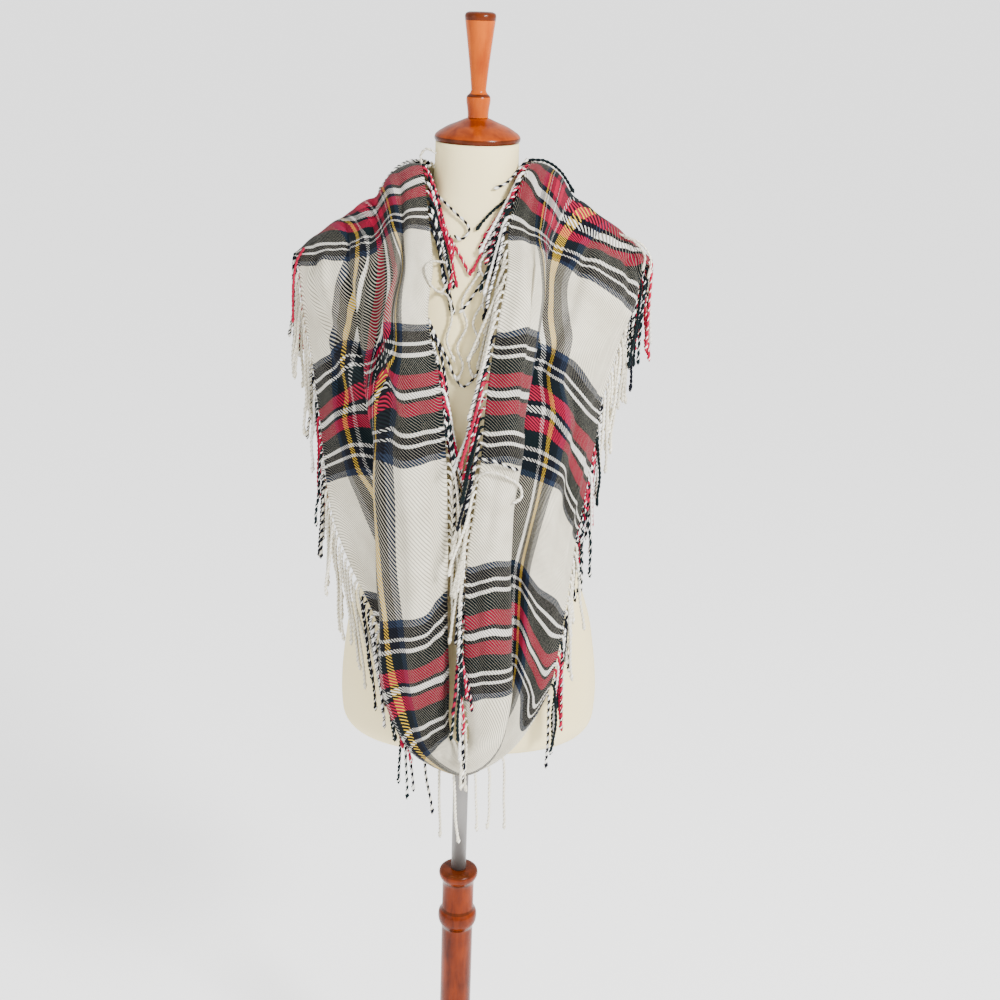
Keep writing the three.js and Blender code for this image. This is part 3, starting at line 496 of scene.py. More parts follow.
# Lay of the weave on the form: for each place along it, where in the weave each point across it lies
layAcross = [0, 35, 60, 85, 110, 135, 165, 205, 250, 300, 345]
layAlong = [0, 45, 84, 125, 165, 205, 250, 300, 345]
lay = {
    "leftAcross": {
        -150: layAcross,
        -40: layAcross,
        0: [0, 35, 65, 97, 127, 155, 185, 222, 262, 305, 342],
        45: [0, 35, 70, 109, 145, 174, 203, 238, 272, 308, 338],
        65: [0, 37, 78, 124, 163, 193, 219, 250, 279, 309, 334],
        85: [0, 42, 89, 141, 178, 209, 228, 255, 280, 306, 328],
        115: [0, 51, 108, 156, 185, 213, 227, 248, 273, 297, 321],
        150: [6, 68, 140, 162, 183, 201, 215, 228, 258, 286, 315],
        215: [13, 82, 146, 159, 170, 191, 198, 204, 222, 261, 309],
        260: [15, 62, 96, 104, 114, 182, 187, 191, 201, 246, 304],
        300: [14, 50, 72, 92, 103, 148, 162, 172, 188, 227, 298],
        345: [12, 45, 69, 87, 94, 115, 142, 162, 183, 227, 295],
        385: [9, 43, 69, 86, 97, 108, 133, 162, 193, 239, 297],
        450: [6, 41, 66, 84, 102, 111, 133, 167, 205, 254, 304],
        515: [3, 39, 65, 88, 107, 118, 139, 175, 218, 267, 313],
        600: [1, 37, 65, 100, 111, 124, 147, 184, 229, 279, 324],
        685: [0, 36, 64, 100, 113, 130, 156, 195, 240, 290, 334],
        750: layAcross,
    },
    "rightAcross": {
        -150: layAcross,
        -40: layAcross,
        0: [0, 59, 116, 160, 180, 199, 214, 238, 266, 303, 342],
        45: [0, 70, 145, 200, 213, 221, 229, 249, 274, 306, 339],
        65: [0, 66, 138, 200, 213, 222, 230, 255, 279, 309, 337],
        85: [0, 59, 124, 189, 209, 220, 228, 259, 282, 309, 335],
        115: [0, 41, 72, 136, 185, 207, 222, 263, 281, 308, 336],
        150: [0, 30, 57, 109, 159, 187, 206, 248, 272, 305, 338],
        215: [0, 27, 59, 97, 137, 166, 186, 213, 257, 303, 342],
        260: [0, 28, 60, 93, 124, 153, 180, 213, 252, 302, 345],
        300: [0, 30, 59, 88, 115, 142, 173, 216, 253, 305, 345],
        345: [0, 31, 58, 84, 110, 137, 169, 210, 256, 311, 345],
        385: [0, 32, 58, 82, 107, 134, 168, 211, 267, 319, 345],
        450: [0, 33, 57, 81, 106, 133, 169, 217, 276, 326, 345],
        515: [0, 34, 58, 81, 106, 134, 171, 224, 279, 329, 345],
        600: [0, 34, 58, 82, 107, 134, 171, 221, 269, 325, 345],
        685: [0, 34, 59, 83, 108, 135, 169, 214, 260, 314, 345],
        750: layAcross,
    },
    "leftAlong": {
        -150: [-180.6] * 9,
        -40: [-88, -88, -88, -88, -88, -88, -80, -70, -60],
        0: [-50, -52, -45, -42, -40, -30, -15, -5, 3],
        45: [-20, -25, -12, -15, -10, 12, 28, 40, 51],
        65: [10, 4, 12, 4, 12, 30, 46, 60, 73],
        85: [55, 57, 68, 46, 46, 55, 68, 83, 94],
        115: [96, 104, 106, 84, 86, 90, 102, 112, 118],
        150: [138, 148, 147, 120, 128, 133, 148, 146, 146],
        215: [207, 215, 224, 196, 202, 209, 225, 210, 207],
        260: [259, 267, 288, 264, 261, 264, 275, 266, 256],
        300: [307, 312, 334, 329, 315, 310, 313, 321, 311],
        345: [354, 360, 376, 382, 367, 357, 357, 373, 374],
        385: [394, 398, 404, 410, 404, 398, 398, 410, 420],
        450: [463, 455, 455, 458, 463, 461, 462, 471, 483],
        515: [533, 517, 516, 515, 523, 524, 526, 531, 541],
        600: [619, 615, 617, 610, 605, 605, 607, 611, 618],
        685: [696, 697, 699, 694, 688, 687, 689, 691, 694],
        750: [750] * 9,
    },
    "rightAlong": {
        -150: [-180.6] * 9,
        -40: [-88, -88, -88, -88, -88, -88, -80, -70, -60],
        0: [-45, -55, -55, -52, -48, -45, -40, -28, -14],
        45: [-8, -22, -25, -20, -15, -12, -6, 8, 26],
        65: [20, 6, 2, 5, 9, 11, 18, 28, 43],
        85: [55, 52, 48, 50, 54, 52, 57, 63, 66],
        115: [91, 106, 109, 105, 111, 102, 105, 108, 105],
        150: [136, 160, 168, 157, 154, 158, 159, 152, 147],
        215: [211, 235, 244, 230, 222, 236, 234, 217, 214],
        260: [263, 282, 289, 276, 266, 282, 271, 252, 248],
        300: [305, 321, 326, 316, 303, 314, 295, 279, 274],
        345: [352, 368, 370, 361, 351, 359, 355, 316, 308],
        385: [391, 407, 409, 403, 397, 403, 405, 365, 344],
        450: [452, 471, 474, 470, 467, 465, 457, 436, 409],
        515: [513, 535, 537, 535, 535, 530, 507, 498, 477],
        600: [600, 616, 617, 616, 620, 627, 591, 566, 568],
        685: [678, 688, 694, 694, 698, 705, 681, 639, 665],
        750: [750] * 9,
    },
}

# Creases: side, start and end as (place in the weave, distance from the inner edge), depth, half width
creases = [
    ("left", (60, 52), (240, 52), -9.0, 9), ("left", (120, 8), (330, 12), 3.6, 10),
    ("left", (30, 110), (180, 150), -4.8, 9), ("left", (150, 165), (290, 178), 3.9, 9),
    ("left", (40, 190), (230, 205), -5.1, 10), ("left", (90, 250), (260, 232), 4.5, 11),
    ("left", (60, 290), (200, 262), -5.1, 12), ("left", (190, 300), (330, 270), -4.5, 12),
    ("left", (300, 30), (440, 14), -5.1, 12), ("left", (340, 62), (520, 48), 3.6, 12),
    ("left", (420, 20), (600, 34), -4.2, 11), ("left", (480, 60), (640, 74), 3.0, 10),
    ("left", (520, 16), (700, 22), 3.6, 9), ("left", (560, 46), (720, 50), -3.3, 9),
    ("right", (40, 30), (160, 40), -3.9, 9), ("right", (120, 20), (300, 26), 3.0, 10),
    ("right", (60, 200), (240, 210), -4.5, 9), ("right", (100, 250), (280, 240), 4.2, 10),
    ("right", (30, 290), (200, 300), -5.1, 12), ("right", (220, 265), (420, 280), -4.5, 10),
    ("right", (330, 20), (480, 30), -3.3, 10), ("right", (440, 40), (600, 26), 3.6, 11),
    ("right", (520, 18), (690, 30), -3.9, 9), ("right", (300, 300), (500, 310), 4.5, 10),
    ("both", (-150, 40), (-20, 60), -3.75, 9), ("both", (-150, 150), (-30, 130), 4.5, 11),
    ("both", (-150, 235), (0, 215), -4.5, 11), ("both", (-120, 300), (10, 280), 4.5, 12),
]
creaseStretch = 0.6  # a crease fades more slowly along the weave than across it
# Slight waves all over, as a height and the millimetres for each radian
ripple = {"height": 0.6, "longAlong": 23, "longAcross": 31, "shortAcross": 17, "shortAlong": 61}


def loopStations():
    leftRows, rightRows = scarfLoop["left"], scarfLoop["right"]
    table = [scarfLoop["middleBack"], *leftRows, scarfLoop["bottomTurn"], *reversed(rightRows)]
    weft = np.array([row[0] for row in table], float)
    inner = np.array([row[1] for row in table], float)
    outer = np.array([row[2] for row in table], float)
    count = len(table)
    turn = len(leftRows) + 1
    made = []
    for i in range(count):
        j = (i + 1) % count
        length = (np.linalg.norm(inner[j] - inner[i]) + np.linalg.norm(outer[j] - outer[i])) / 2
        steps = max(2, round(length / scarfLoop["stationStep"]))
        for k in range(steps):
            t = k / steps
            weights = 0.5 * np.array([-t + 2 * t * t - t ** 3, 2 - 5 * t * t + 3 * t ** 3,
                                      t + 4 * t * t - 3 * t ** 3, t ** 3 - t * t])
            near = [(i + d) % count for d in (-1, 0, 1, 2)]
            place = weft[i] + (weft[j] - weft[i]) * t
            made.append((weights @ inner[near], weights @ outer[near], place, i < turn))
    return [np.array(column) for column in zip(*made)]


def makeCloth():
    inner, outer, weft, left = loopStations()
    steps, offForm = scarfLoop["baseSteps"], scarfLoop["offForm"]
    shares = np.linspace(0, 1, steps + 1)
    base = inner[:, None] + (outer - inner)[:, None] * shares[None, :, None]
    base = keepClear(base, offForm)
    for _ in range(scarfLoop["baseSmoothing"]):
        base[:, 1:-1] = 0.5 * base[:, 1:-1] + 0.25 * (base[:, :-2] + base[:, 2:])
        base = keepClear(base, offForm)
    normal = surfaceNormals(base, 3)
    cloth = np.linspace(0, clothAt[-1], scarfLoop["points"])
    surface = np.zeros((len(weft), len(cloth), 3))
    for s in range(len(weft)):
        own = folds["left" if left[s] else "right"]
        places = [fold[0] for fold in own]
        share = steadyCurve(places, [fold[1] for fold in own], [weft[s]])[0]
        lift = steadyCurve(places, [fold[2] for fold in own], [weft[s]])[0]
        both = roundCurve(clothAt, np.stack([share, lift], 1), cloth)
        place = both[:, 0] * steps
        j = np.clip(np.floor(place).astype(int), 0, steps - 1)
        t = (place - j)[:, None]
        held = np.clip(t, 0, 1)
        point = base[s, j] * (1 - t) + base[s, j + 1] * t
        up = normal[s, j] * (1 - held) + normal[s, j + 1] * held
        surface[s] = point + up * both[:, 1:2]
    surface = keepClear(surface, offForm)
    for _ in range(scarfLoop["loopSmoothing"]):
        surface = 0.5 * surface + 0.25 * (np.roll(surface, 1, 0) + np.roll(surface, -1, 0))
    return surface, weft, left, cloth


def surfaceNormals(surface, reach=1):
    along = np.roll(surface, -reach, 0) - np.roll(surface, reach, 0)
    across = np.gradient(surface, axis=1)
    normal = np.cross(across, along)
    return normal / np.maximum(np.linalg.norm(normal, axis=-1, keepdims=True), 1e-9)


def addCreases(surface, weft, left, cloth):
    places, across = weft[:, None], cloth[None, :]
    p = np.stack(np.broadcast_arrays(places, across), -1)
    shift = np.zeros(surface.shape[:2])
    for side, start, end, depth, width in creases:
        chosen = np.ones(len(weft), bool) if side == "both" else (left if side == "left" else ~left)
        start, line = np.array(start, float), np.subtract(end, start, dtype=float)
        t = ((p - start) @ line) / (line @ line)
        near = start + np.clip(t, 0, 1)[..., None] * line
        gap = np.linalg.norm((p - near) * np.array([creaseStretch, 1.0]), axis=-1)
        taper = np.clip(np.minimum(t + 0.25, 1.25 - t) / 0.5, 0, 1)
        shift += depth * np.exp(-(gap / width) ** 2) * taper * chosen[:, None]
    slow = np.sin(places / ripple["longAlong"] + across / ripple["longAcross"])
    quick = np.sin(across / ripple["shortAcross"] + places / ripple["shortAlong"])
    shift += ripple["height"] * slow * quick
    return keepClear(surface + surfaceNormals(surface) * shift[..., None], scarfLoop["offForm"])


def laidWeave(weft, left, cloth):
    across = np.zeros((len(weft), len(cloth)))
    along = np.zeros_like(across)
    for side, chosen in (("left", left), ("right", ~left)):
        for keys, table, made in ((layAcross, lay[side + "Across"], across),
                                  (layAlong, lay[side + "Along"], along)):
            atWeft = steadyCurve(list(table), list(table.values()), weft[chosen])
            made[chosen] = steadyCurve(keys, atWeft.T, cloth).T
    along[~left] = scarfLoop["rightFrom"] - along[~left]
    return across, along


def loopMesh(name, surface, uv):  # uv has one more row than the surface, for the seam
    count, cols = surface.shape[:2]
    faces, corners = [], []
    for r in range(count):
        q = (r + 1) % count
        for c in range(cols - 1):
            faces.append((r * cols + c, r * cols + c + 1, q * cols + c + 1, q * cols + c))
            corners.append((uv[r][c], uv[r][c + 1], uv[r + 1][c + 1], uv[r + 1][c]))
    mesh = bpy.data.meshes.new(name)
    mesh.from_pydata((surface.reshape(-1, 3) * mm).tolist(), [], faces)
    mesh.uv_layers.new(name="weave").data.foreach_set("uv", np.array(corners, np.float32).ravel())
    mesh.polygons.foreach_set("use_smooth", [True] * len(faces))
    mesh.update()
    return mesh


surface, weft, left, cloth = makeCloth()
surface = addCreases(surface, weft, left, cloth)
normals = surfaceNormals(surface)
laidAcross, laidAlong = laidWeave(weft, left, cloth)
seamAlong = np.full_like(laidAlong[:1], scarfLoop["rightFrom"] - laidAlong[0, 0])
weaveUv = np.stack([np.vstack([laidAcross, laidAcross[:1]]), np.vstack([laidAlong, seamAlong])], -1) * mm
scarf = newPiece("scarfCloth", loopMesh("scarfCloth", surface, weaveUv))
scarf.data.materials.append(twill)
shell = scarf.modifiers.new("thickness", "SOLIDIFY")
shell.thickness = scarfLoop["thick"] * mm
shell.offset = 0
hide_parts("scarf_left_front", "scarf_bottom_turn", "scarf_right_front", "scarf_back_collar")
breadth = np.linalg.norm(np.diff(surface, axis=1), axis=-1).sum(1)
print("scarf ready", len(weft), "stations, mean breadth", round(float(breadth.mean()), 1))

# Fringe, millimetres
fringeYarn = {
    "step": 10.0,  # between strands along the edge
    "stepSpread": (0.8, 1.2),
    "radius": 2.1,
    "sides": 7,
    "ring": 1.9,  # length of one ring of faces
    "twistPitch": 11.0,
    "waist": 0.18,  # how far two plies make the section an oval
    "offForm": 3.5,
    "looseOffForm": 0.8,
    "lengthSpread": (0.85, 1.12),
    "largestGather": 4,  # strands that hang together
    "gatherPull": (0.3, 1.0),
    "sidewaysSpread": 0.06,
    "forwardSpread": 0.04,
    "curl": 5,
    "waveHeight": (0.6, 2.2),
    "waveCount": (9, 15),  # radians over the length
    "knotUp": 5,  # from the tip
    "knotLength": 2.2,
    "knotSwell": 0.5,
    "tipLength": 1.5,
    "tipTaper": 0.45,
}
# How far a strand has turned from the cloth's way to the way it hangs, and that bit's share of its length
strandBends = [(0.3, 0.03), (0.7, 0.05), (0.92, 0.1)] + [(1.0, 0.14)] * 5 + [(1.0, 0.12)]
thinning = {  # stretches of the edges where the photo shows fewer, shorter or longer strands
    "longer": 1.3,
    "outerPast": {True: 560, False: 690},  # left side, right side
    "outerGone": 0.6,
    "neckline": (105, 215),
    "leftGone": 0.8,
    "shortShare": 0.6,
    "short": 0.55,
    "long": 1.1,
}
dice = random.Random(11)
looseStrands = [  # bundle, place in the weave that gives the colour, radius, path
    ("fringeLeftInner", 358, 1.9, [(-48, -104, 1316), (-37, -110, 1294), (-26, -114, 1274), (-16, -119, 1253),
        (-6, -120, 1242), (7, -119, 1254), (20, -116, 1281)]),
    ("fringeLeftInner", 120, 1.8, [(-31, -86, 1376), (-45, -104, 1380), (-51, -116, 1375), (-45, -120, 1358),
        (-34, -108, 1347), (-27, -98, 1355)]),
    ("fringeLeftInner", 120, 1.8, [(-36, -96, 1345), (-26, -99, 1340), (-21, -106, 1317), (-26, -112, 1293),
        (-16, -116, 1269)]),
    ("fringeRightInner", 358, 1.9, [(26, -90, 1373), (20, -90, 1369), (9, -95, 1353), (-3, -102, 1335),
        (-13, -105, 1323)]),
    ("fringeRightInner", 120, 1.9, [(32, -84, 1392), (17, -84, 1388), (8, -88, 1373), (17, -92, 1360),
        (28, -92, 1364)]),
    ("fringeRightInner", 120, 1.9, [(33, -96, 1354), (20, -97, 1350), (13, -102, 1332), (23, -106, 1319),
        (15, -110, 1301)]),
    ("fringeRightInner", 120, 1.9, [(8, -90, 1366), (-10, -102, 1335), (-4, -109, 1310), (-14, -113, 1286),
        (-7, -117, 1265), (-14, -120, 1247)]),
    ("fringeRightInner", 120, 1.9, [(18, -98, 1342), (3, -108, 1314), (10, -112, 1292), (0, -117, 1271),
        (5, -120, 1252)]),
    ("fringeRightInner", 354, 1.9, [(12, -153, 1169), (19, -158, 1169), (33, -161, 1168), (48, -161, 1162),
        (60, -152, 1155)]),
    ("fringeRightInner", 120, 2.0, [(9, -146, 1134), (18, -158, 1151), (31, -161, 1155), (48, -161, 1149),
        (62, -152, 1136), (64, -152, 1122), (54, -156, 1117)]),
    ("fringeBackInner", 358, 1.9, [(58, -16, 1484), (48, -22, 1472), (35, -42, 1460), (21, -51, 1454)]),
    ("fringeBackInner", 354, 1.9, [(53, -14, 1468), (42, -38, 1447), (27, -62, 1419), (14, -78, 1390),
        (6, -91, 1361)]),
    ("fringeBackInner", 285, 1.9, [(47, -28, 1452), (31, -58, 1423), (15, -73, 1397), (-1, -89, 1365)]),
    ("fringeBackInner", 120, 1.8, [(-45, -24, 1488), (-57, -20, 1492), (-64, -16, 1483), (-60, -14, 1470),
        (-52, -20, 1474)]),
    ("fringeBackInner", 358, 1.9, [(-78, -24, 1470), (-62, -34, 1463), (-42, -42, 1443), (-22, -59, 1428),
        (-5, -68, 1412), (-13, -73, 1400), (-22, -71, 1404)]),
    ("fringeBackInner", 285, 1.9, [(-53, -32, 1450), (-39, -60, 1418), (-26, -79, 1386), (-16, -97, 1350)]),
    ("fringeBackInner", 285, 1.9, [(-50, -28, 1446), (-33, -66, 1411), (-22, -85, 1376), (-25, -98, 1347)]),
    ("fringeLeftOuter", 285, 1.8, [(-198, -18, 1374), (-207, -20, 1358), (-211, -24, 1329),
        (-212, -24, 1285)]),
    ("fringeRightOuter", 120, 1.7, [(174, -12, 1398), (192, -16, 1393), (206, -18, 1375), (204, -22, 1352)]),
    ("fringeRightOuter", 120, 1.7, [(166, -10, 1402), (184, -20, 1396), (198, -26, 1380), (196, -28, 1362)]),
]


def strandPath(root, way, hang, length, curl):
    points = [np.array(root, float)]
    side = np.cross(hang, way)
    for turn, share in strandBends:
        direction = way * (1 - turn) + hang * turn
        direction = direction / np.linalg.norm(direction)
        points.append(points[-1] + direction * share * length)
    points = np.array(points)
    t = np.linspace(0, 1, len(points))[:, None]
    phase = dice.uniform(0, 6.3)
    waveHeight = dice.uniform(*fringeYarn["waveHeight"])
    wave = waveHeight * np.sin(t * dice.uniform(*fringeYarn["waveCount"]) + phase) * t
    return points + side * (curl * np.sin(t * 2.6) * t + wave) + way * (0.5 * curl * np.sin(t * 5.1) * t)


def evenPoints(points, step):
    gaps = np.linalg.norm(np.diff(points, axis=0), axis=1)
    at = np.concatenate([[0], np.cumsum(gaps)])
    count = max(6, int(at[-1] / step))
    return roundCurve(at, np.asarray(points, float), np.linspace(0, at[-1], count))


class Bundle:
    def __init__(self):
        self.verts, self.faces, self.ply, self.root = [], [], [], []

    def strand(self, points, rootWeft, radius=fringeYarn["radius"]):
        own = fringeYarn
        sides, ring, pitch = own["sides"], own["ring"], own["twistPitch"]
        line = evenPoints(points, ring)
        tone = dice.random()
        along = np.gradient(line, axis=0)
        along /= np.linalg.norm(along, axis=1, keepdims=True)
        side = np.cross(along[0], (0.3, 0.5, 0.81))
        side /= np.linalg.norm(side)
        start = len(self.verts)
        travelled = dice.random() * pitch
        count = len(line)
        for i in range(count):
            side = side - along[i] * (side @ along[i])
            side /= np.linalg.norm(side)
            up = np.cross(along[i], side)
            travelled += ring
            spin = travelled / pitch * 2 * math.pi
            end = (count - 1 - i) * ring
            knot = own["knotSwell"] * math.exp(-((end - own["knotUp"]) / own["knotLength"]) ** 2)
            swell = 1 + knot - own["tipTaper"] * math.exp(-(end / own["tipLength"]) ** 2)
            for k in range(sides):
                angle = k / sides * 2 * math.pi
                oval = 1 - own["waist"] + own["waist"] * math.cos(2 * (angle - math.pi / sides))
                spoke = side * math.cos(angle + spin) + up * math.sin(angle + spin)
                self.verts.append(line[i] + spoke * (radius * swell * oval))
        for i in range(count - 1):
            for k in range(sides):
                a = start + i * sides + k
                b = start + i * sides + (k + 1) % sides
                self.faces.append((a, b, b + sides, a + sides))
                low, high = k / sides, (k + 1) / sides
                self.ply += [(low, i), (high, i), (high, i + 1), (low, i + 1)]
                self.root += [(rootWeft * mm, tone)] * 4
        for first in (start, start + (count - 1) * sides):
            cap = tuple(range(first, first + sides))
            self.faces.append(cap[::-1] if first == start else cap)
            self.ply += [(0.25, 0)] * sides
            self.root += [(rootWeft * mm, tone)] * sides

    def loose(self, name):
        for bundle, yarnPlace, radius, path in looseStrands:
            if bundle == name:
                self.strand(keepClear(path, radius + fringeYarn["looseOffForm"]), yarnPlace, radius)

    def build(self, name, *nodes):
        mesh = bpy.data.meshes.new(name)
        mesh.from_pydata((np.array(self.verts) * mm).tolist(), [], self.faces)
        for layer, values in (("ply", self.ply), ("root", self.root)):
            mesh.uv_layers.new(name=layer).data.foreach_set("uv", np.array(values, np.float32).ravel())
        mesh.polygons.foreach_set("use_smooth", [True] * len(self.faces))
        mesh.update()
        mesh.materials.append(yarn)
        piece = newPiece(name, mesh)
        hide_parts(*nodes)
        return piece


def edgeRoots(edge, chosen):
    k = 0 if edge == "inner" else -1
    inside = 2 if edge == "inner" else -3
    roots = []
    step = fringeYarn["step"]
    travelled = step / 2
    total = len(weft)
    for s in range(total):
        q = (s + 1) % total
        length = np.linalg.norm(surface[q, k] - surface[s, k])
        while travelled < length:
            t = travelled / length
            if chosen(weft[s], left[s]):
                point = surface[s, k] * (1 - t) + surface[q, k] * t
                way = surface[s, k] - surface[s, inside]
                rootWeft = laidAlong[s, k] * (1 - t) + laidAlong[min(s + 1, total - 1), k] * t
                roots.append((point, way / np.linalg.norm(way), normals[s, k], rootWeft, weft[s], s))
            travelled += step * dice.uniform(*fringeYarn["stepSpread"])
        travelled -= length
    return roots


def hangingFringe(name, edge, chosen, lean, reach, node, longStretch=(0, 0)):
    bundle = Bundle()
    roots = edgeRoots(edge, chosen)
    gathers = []
    while len(gathers) < len(roots):
        together = dice.randint(1, fringeYarn["largestGather"])
        centre = np.mean([root[0] for root in roots[len(gathers):len(gathers) + together]], axis=0)
        gathers += [centre] * together
    for (point, way, _, rootWeft, place, s), centre in zip(roots, gathers):
        sideways, forward = lean(place)
        hang = np.array([sideways + dice.gauss(0, fringeYarn["sidewaysSpread"]),
                         -forward + dice.gauss(0, fringeYarn["forwardSpread"]), -1.0])
        hang[:2] += (centre - point)[:2] / reach * dice.uniform(*fringeYarn["gatherPull"])
        hang /= np.linalg.norm(hang)
        length = reach * dice.uniform(*fringeYarn["lengthSpread"])
        if longStretch[0] < place < longStretch[1]:
            length *= thinning["longer"]
        thinned = edge == "outer" and place > thinning["outerPast"][bool(left[s])]
        if thinned and dice.random() < thinning["outerGone"]:
            continue
        if edge == "inner" and thinning["neckline"][0] < place < thinning["neckline"][1]:
            if left[s] and dice.random() < thinning["leftGone"]:
                continue
            length *= thinning["short"] if dice.random() < thinning["shortShare"] else thinning["long"]
        path = strandPath(point, way, hang, length, dice.gauss(0, fringeYarn["curl"]))
        bundle.strand(keepClear(path, fringeYarn["offForm"]), rootWeft)
    bundle.loose(name)
    return bundle.build(name, node)


# How far strands lean sideways and forward, by their place in the weave
def leanLeft(place):
    sideways = np.interp(place, [15, 50, 85, 150, 300, 515], [0.4, 0.4, 0.3, 0.24, 0.17, 0.1])
    return float(sideways), float(np.interp(place, [15, 85, 150], [0.45, 0.12, 0]))


def leanRight(place):
    sideways = np.interp(place, [15, 50, 85, 150, 300, 450, 560], [0.5, 0.5, 0.2, 0.16, 0.2, 0.1, -0.04])
    forward = np.interp(place, [15, 85, 150, 515, 600, 700], [0.45, 0.42, 0.1, 0, 0.25, 0.37])
    return -float(sideways), float(forward)


def leanLeftOuter(place):
    return float(np.interp(place, [300, 385, 515], [0, 0.05, 0.22])), 0.0


def straight(place):
    return 0.0, 0.0


hangingFringes = {
    "fringeLeftOuter": {"edge": "outer", "chosen": lambda w, l: l and 15 <= w < 600, "lean": leanLeftOuter,
                        "reach": 108, "node": "fringe_left_outer", "longStretch": (400, 570)},
    "fringeBottomOuter": {"edge": "outer", "chosen": lambda w, l: w >= (600 if l else 680), "lean": straight,
                          "reach": 100, "node": "fringe_bottom_outer"},
    "fringeRightOuter": {"edge": "outer", "chosen": lambda w, l: not l and 15 <= w < 680, "lean": straight,
                         "reach": 100, "node": "fringe_right_outer"},
    "fringeBackOuter": {"edge": "outer", "chosen": lambda w, l: w < 15, "lean": straight,
                        "reach": 100, "node": "fringe_back_outer"},
    "fringeLeftInner": {"edge": "inner", "chosen": lambda w, l: l and 15 <= w < 460, "lean": leanLeft,
                        "reach": 100, "node": "fringe_left_inner"},
    "fringeRightInner": {"edge": "inner", "chosen": lambda w, l: not l and 15 <= w < 720, "lean": leanRight,
                         "reach": 100, "node": "fringe_right_inner"},
}
fringes = [hangingFringe(name, **own) for name, own in hangingFringes.items()]
thrownBack = {"reach": (26, 33), "overRows": [3, 8, 14, 20], "lift": 4.4, "sway": 9}  # rows across the cloth


def thrownFringe(name, *nodes):
    bundle = Bundle()
    for point, way, normal, rootWeft, _, s in edgeRoots("inner", lambda w, l: w < 15):
        path = [point, point + normal * 4 + way * 3]
        over = [*thrownBack["overRows"], int(dice.uniform(*thrownBack["reach"]))]
        path += [surface[s, k] + normals[s, k] * thrownBack["lift"] for k in over]
        sway = np.cross(normal, way) * dice.gauss(0, thrownBack["sway"])
        path = [p + sway * (i / len(path)) ** 1.5 for i, p in enumerate(path)]
        bundle.strand(np.array(path), rootWeft)
    bundle.loose(name)
    return bundle.build(name, *nodes)


fringes.append(thrownFringe("fringeBackInner", "fringe_back_inner"))
print("fringe ready", sum(len(f.data.polygons) for f in fringes), "faces")


# Dress form: a circle drawn up through its sections, then shaped by the table
def makeTorso():
    bottom, top, steps = dressForm["bottom"], dressForm["top"], dressForm["roundingSteps"]
    heights = [bottom + rounding * (1 - math.cos(i / steps * math.pi / 2)) for i in range(steps + 1)]
    heights += list(np.arange(heights[-1] + dressForm["ringStep"], top + 1, dressForm["ringStep"]))
    mesh = bpy.data.meshes.new("torsoForm")
    bm = bmesh.new()
    bmesh.ops.create_circle(bm, cap_ends=True, segments=dressForm["around"], radius=1,
                            matrix=Matrix.Translation((0, 0, bottom * mm)))
    ring = list(bm.edges)
    for z in heights[1:]:
        drawn = bmesh.ops.extrude_edge_only(bm, edges=ring)["geom"]
        ring = [part for part in drawn if isinstance(part, bmesh.types.BMEdge)]
        for part in drawn:
            if isinstance(part, bmesh.types.BMVert):
                part.co.z = z * mm
    bmesh.ops.contextual_create(bm, geom=ring)
    squarer = 2 / dressForm["sectionPower"]
    for vert in bm.verts:
        x, y = vert.co.x, vert.co.y
        half, front, back, lean = torsoSection(vert.co.z / mm)
        vert.co.x = (lean + half * math.copysign(abs(x) ** squarer, x)) * mm
        vert.co.y = (front if y < 0 else back) * math.copysign(abs(y) ** squarer, y) * mm
    bmesh.ops.recalc_face_normals(bm, faces=bm.faces)
    for face in bm.faces:
        face.smooth = len(face.verts) == 4
    bm.to_mesh(mesh)
    bm.free()
    mesh.materials.append(jersey)
    return newPiece("torsoForm", mesh)


torso = makeTorso()
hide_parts("torso")


# Turned and drawn pieces. A profile is a list of (radius, height), a rim is a stretch of heights in dark wood
def turned(name, profile, materials, rims=(), segments=96):
    mesh = bpy.data.meshes.new(name)
    bm = bmesh.new()
    verts = [bm.verts.new((r * mm, 0, z * mm)) for r, z in profile]
    edges = [bm.edges.new(pair) for pair in zip(verts, verts[1:])]
    bmesh.ops.spin(bm, geom=verts + edges, axis=(0, 0, 1), cent=(0, 0, 0), steps=segments, angle=2 * math.pi,
                   use_merge=True, use_duplicate=False)
    bmesh.ops.remove_doubles(bm, verts=bm.verts, dist=1e-6)
    bmesh.ops.recalc_face_normals(bm, faces=bm.faces)
    for face in bm.faces:
        face.smooth = True
        z = face.calc_center_median().z / mm
        if any(low <= z <= high for low, high in rims):
            face.material_index = 1
    bm.to_mesh(mesh)
    bm.free()
    for material in materials:
        mesh.materials.append(material)
    return newPiece(name, mesh)


def smoothProfile(points, steps=6):
    points = np.array(points, float)
    t = np.arange(len(points), dtype=float)
    return roundCurve(t, points, np.linspace(0, len(points) - 1, (len(points) - 1) * steps + 1))


seat = 0.3  # gap under a piece that stands on another, millimetres
capFoot = dressForm["top"] + seat
neckCap = {
    "foot": [(0, capFoot), (48.2, capFoot)],
    "dome": [(48.4, capFoot + 0.2), (49.5, capFoot + 2.5), (49.2, capFoot + 5.5), (47, capFoot + 8.5),
             (42, capFoot + 12), (34, capFoot + 16.6), (24, 1521), (16, 1524.5), (12, 1526)],
    "top": [(0, 1526)],
    "rims": [(capFoot, capFoot + 5.6)],
}
cap = turned("neckCap", [*neckCap["foot"], *smoothProfile(neckCap["dome"]), *neckCap["top"]],
             [capWood, rimWood], neckCap["rims"])
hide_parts("neck_cap")

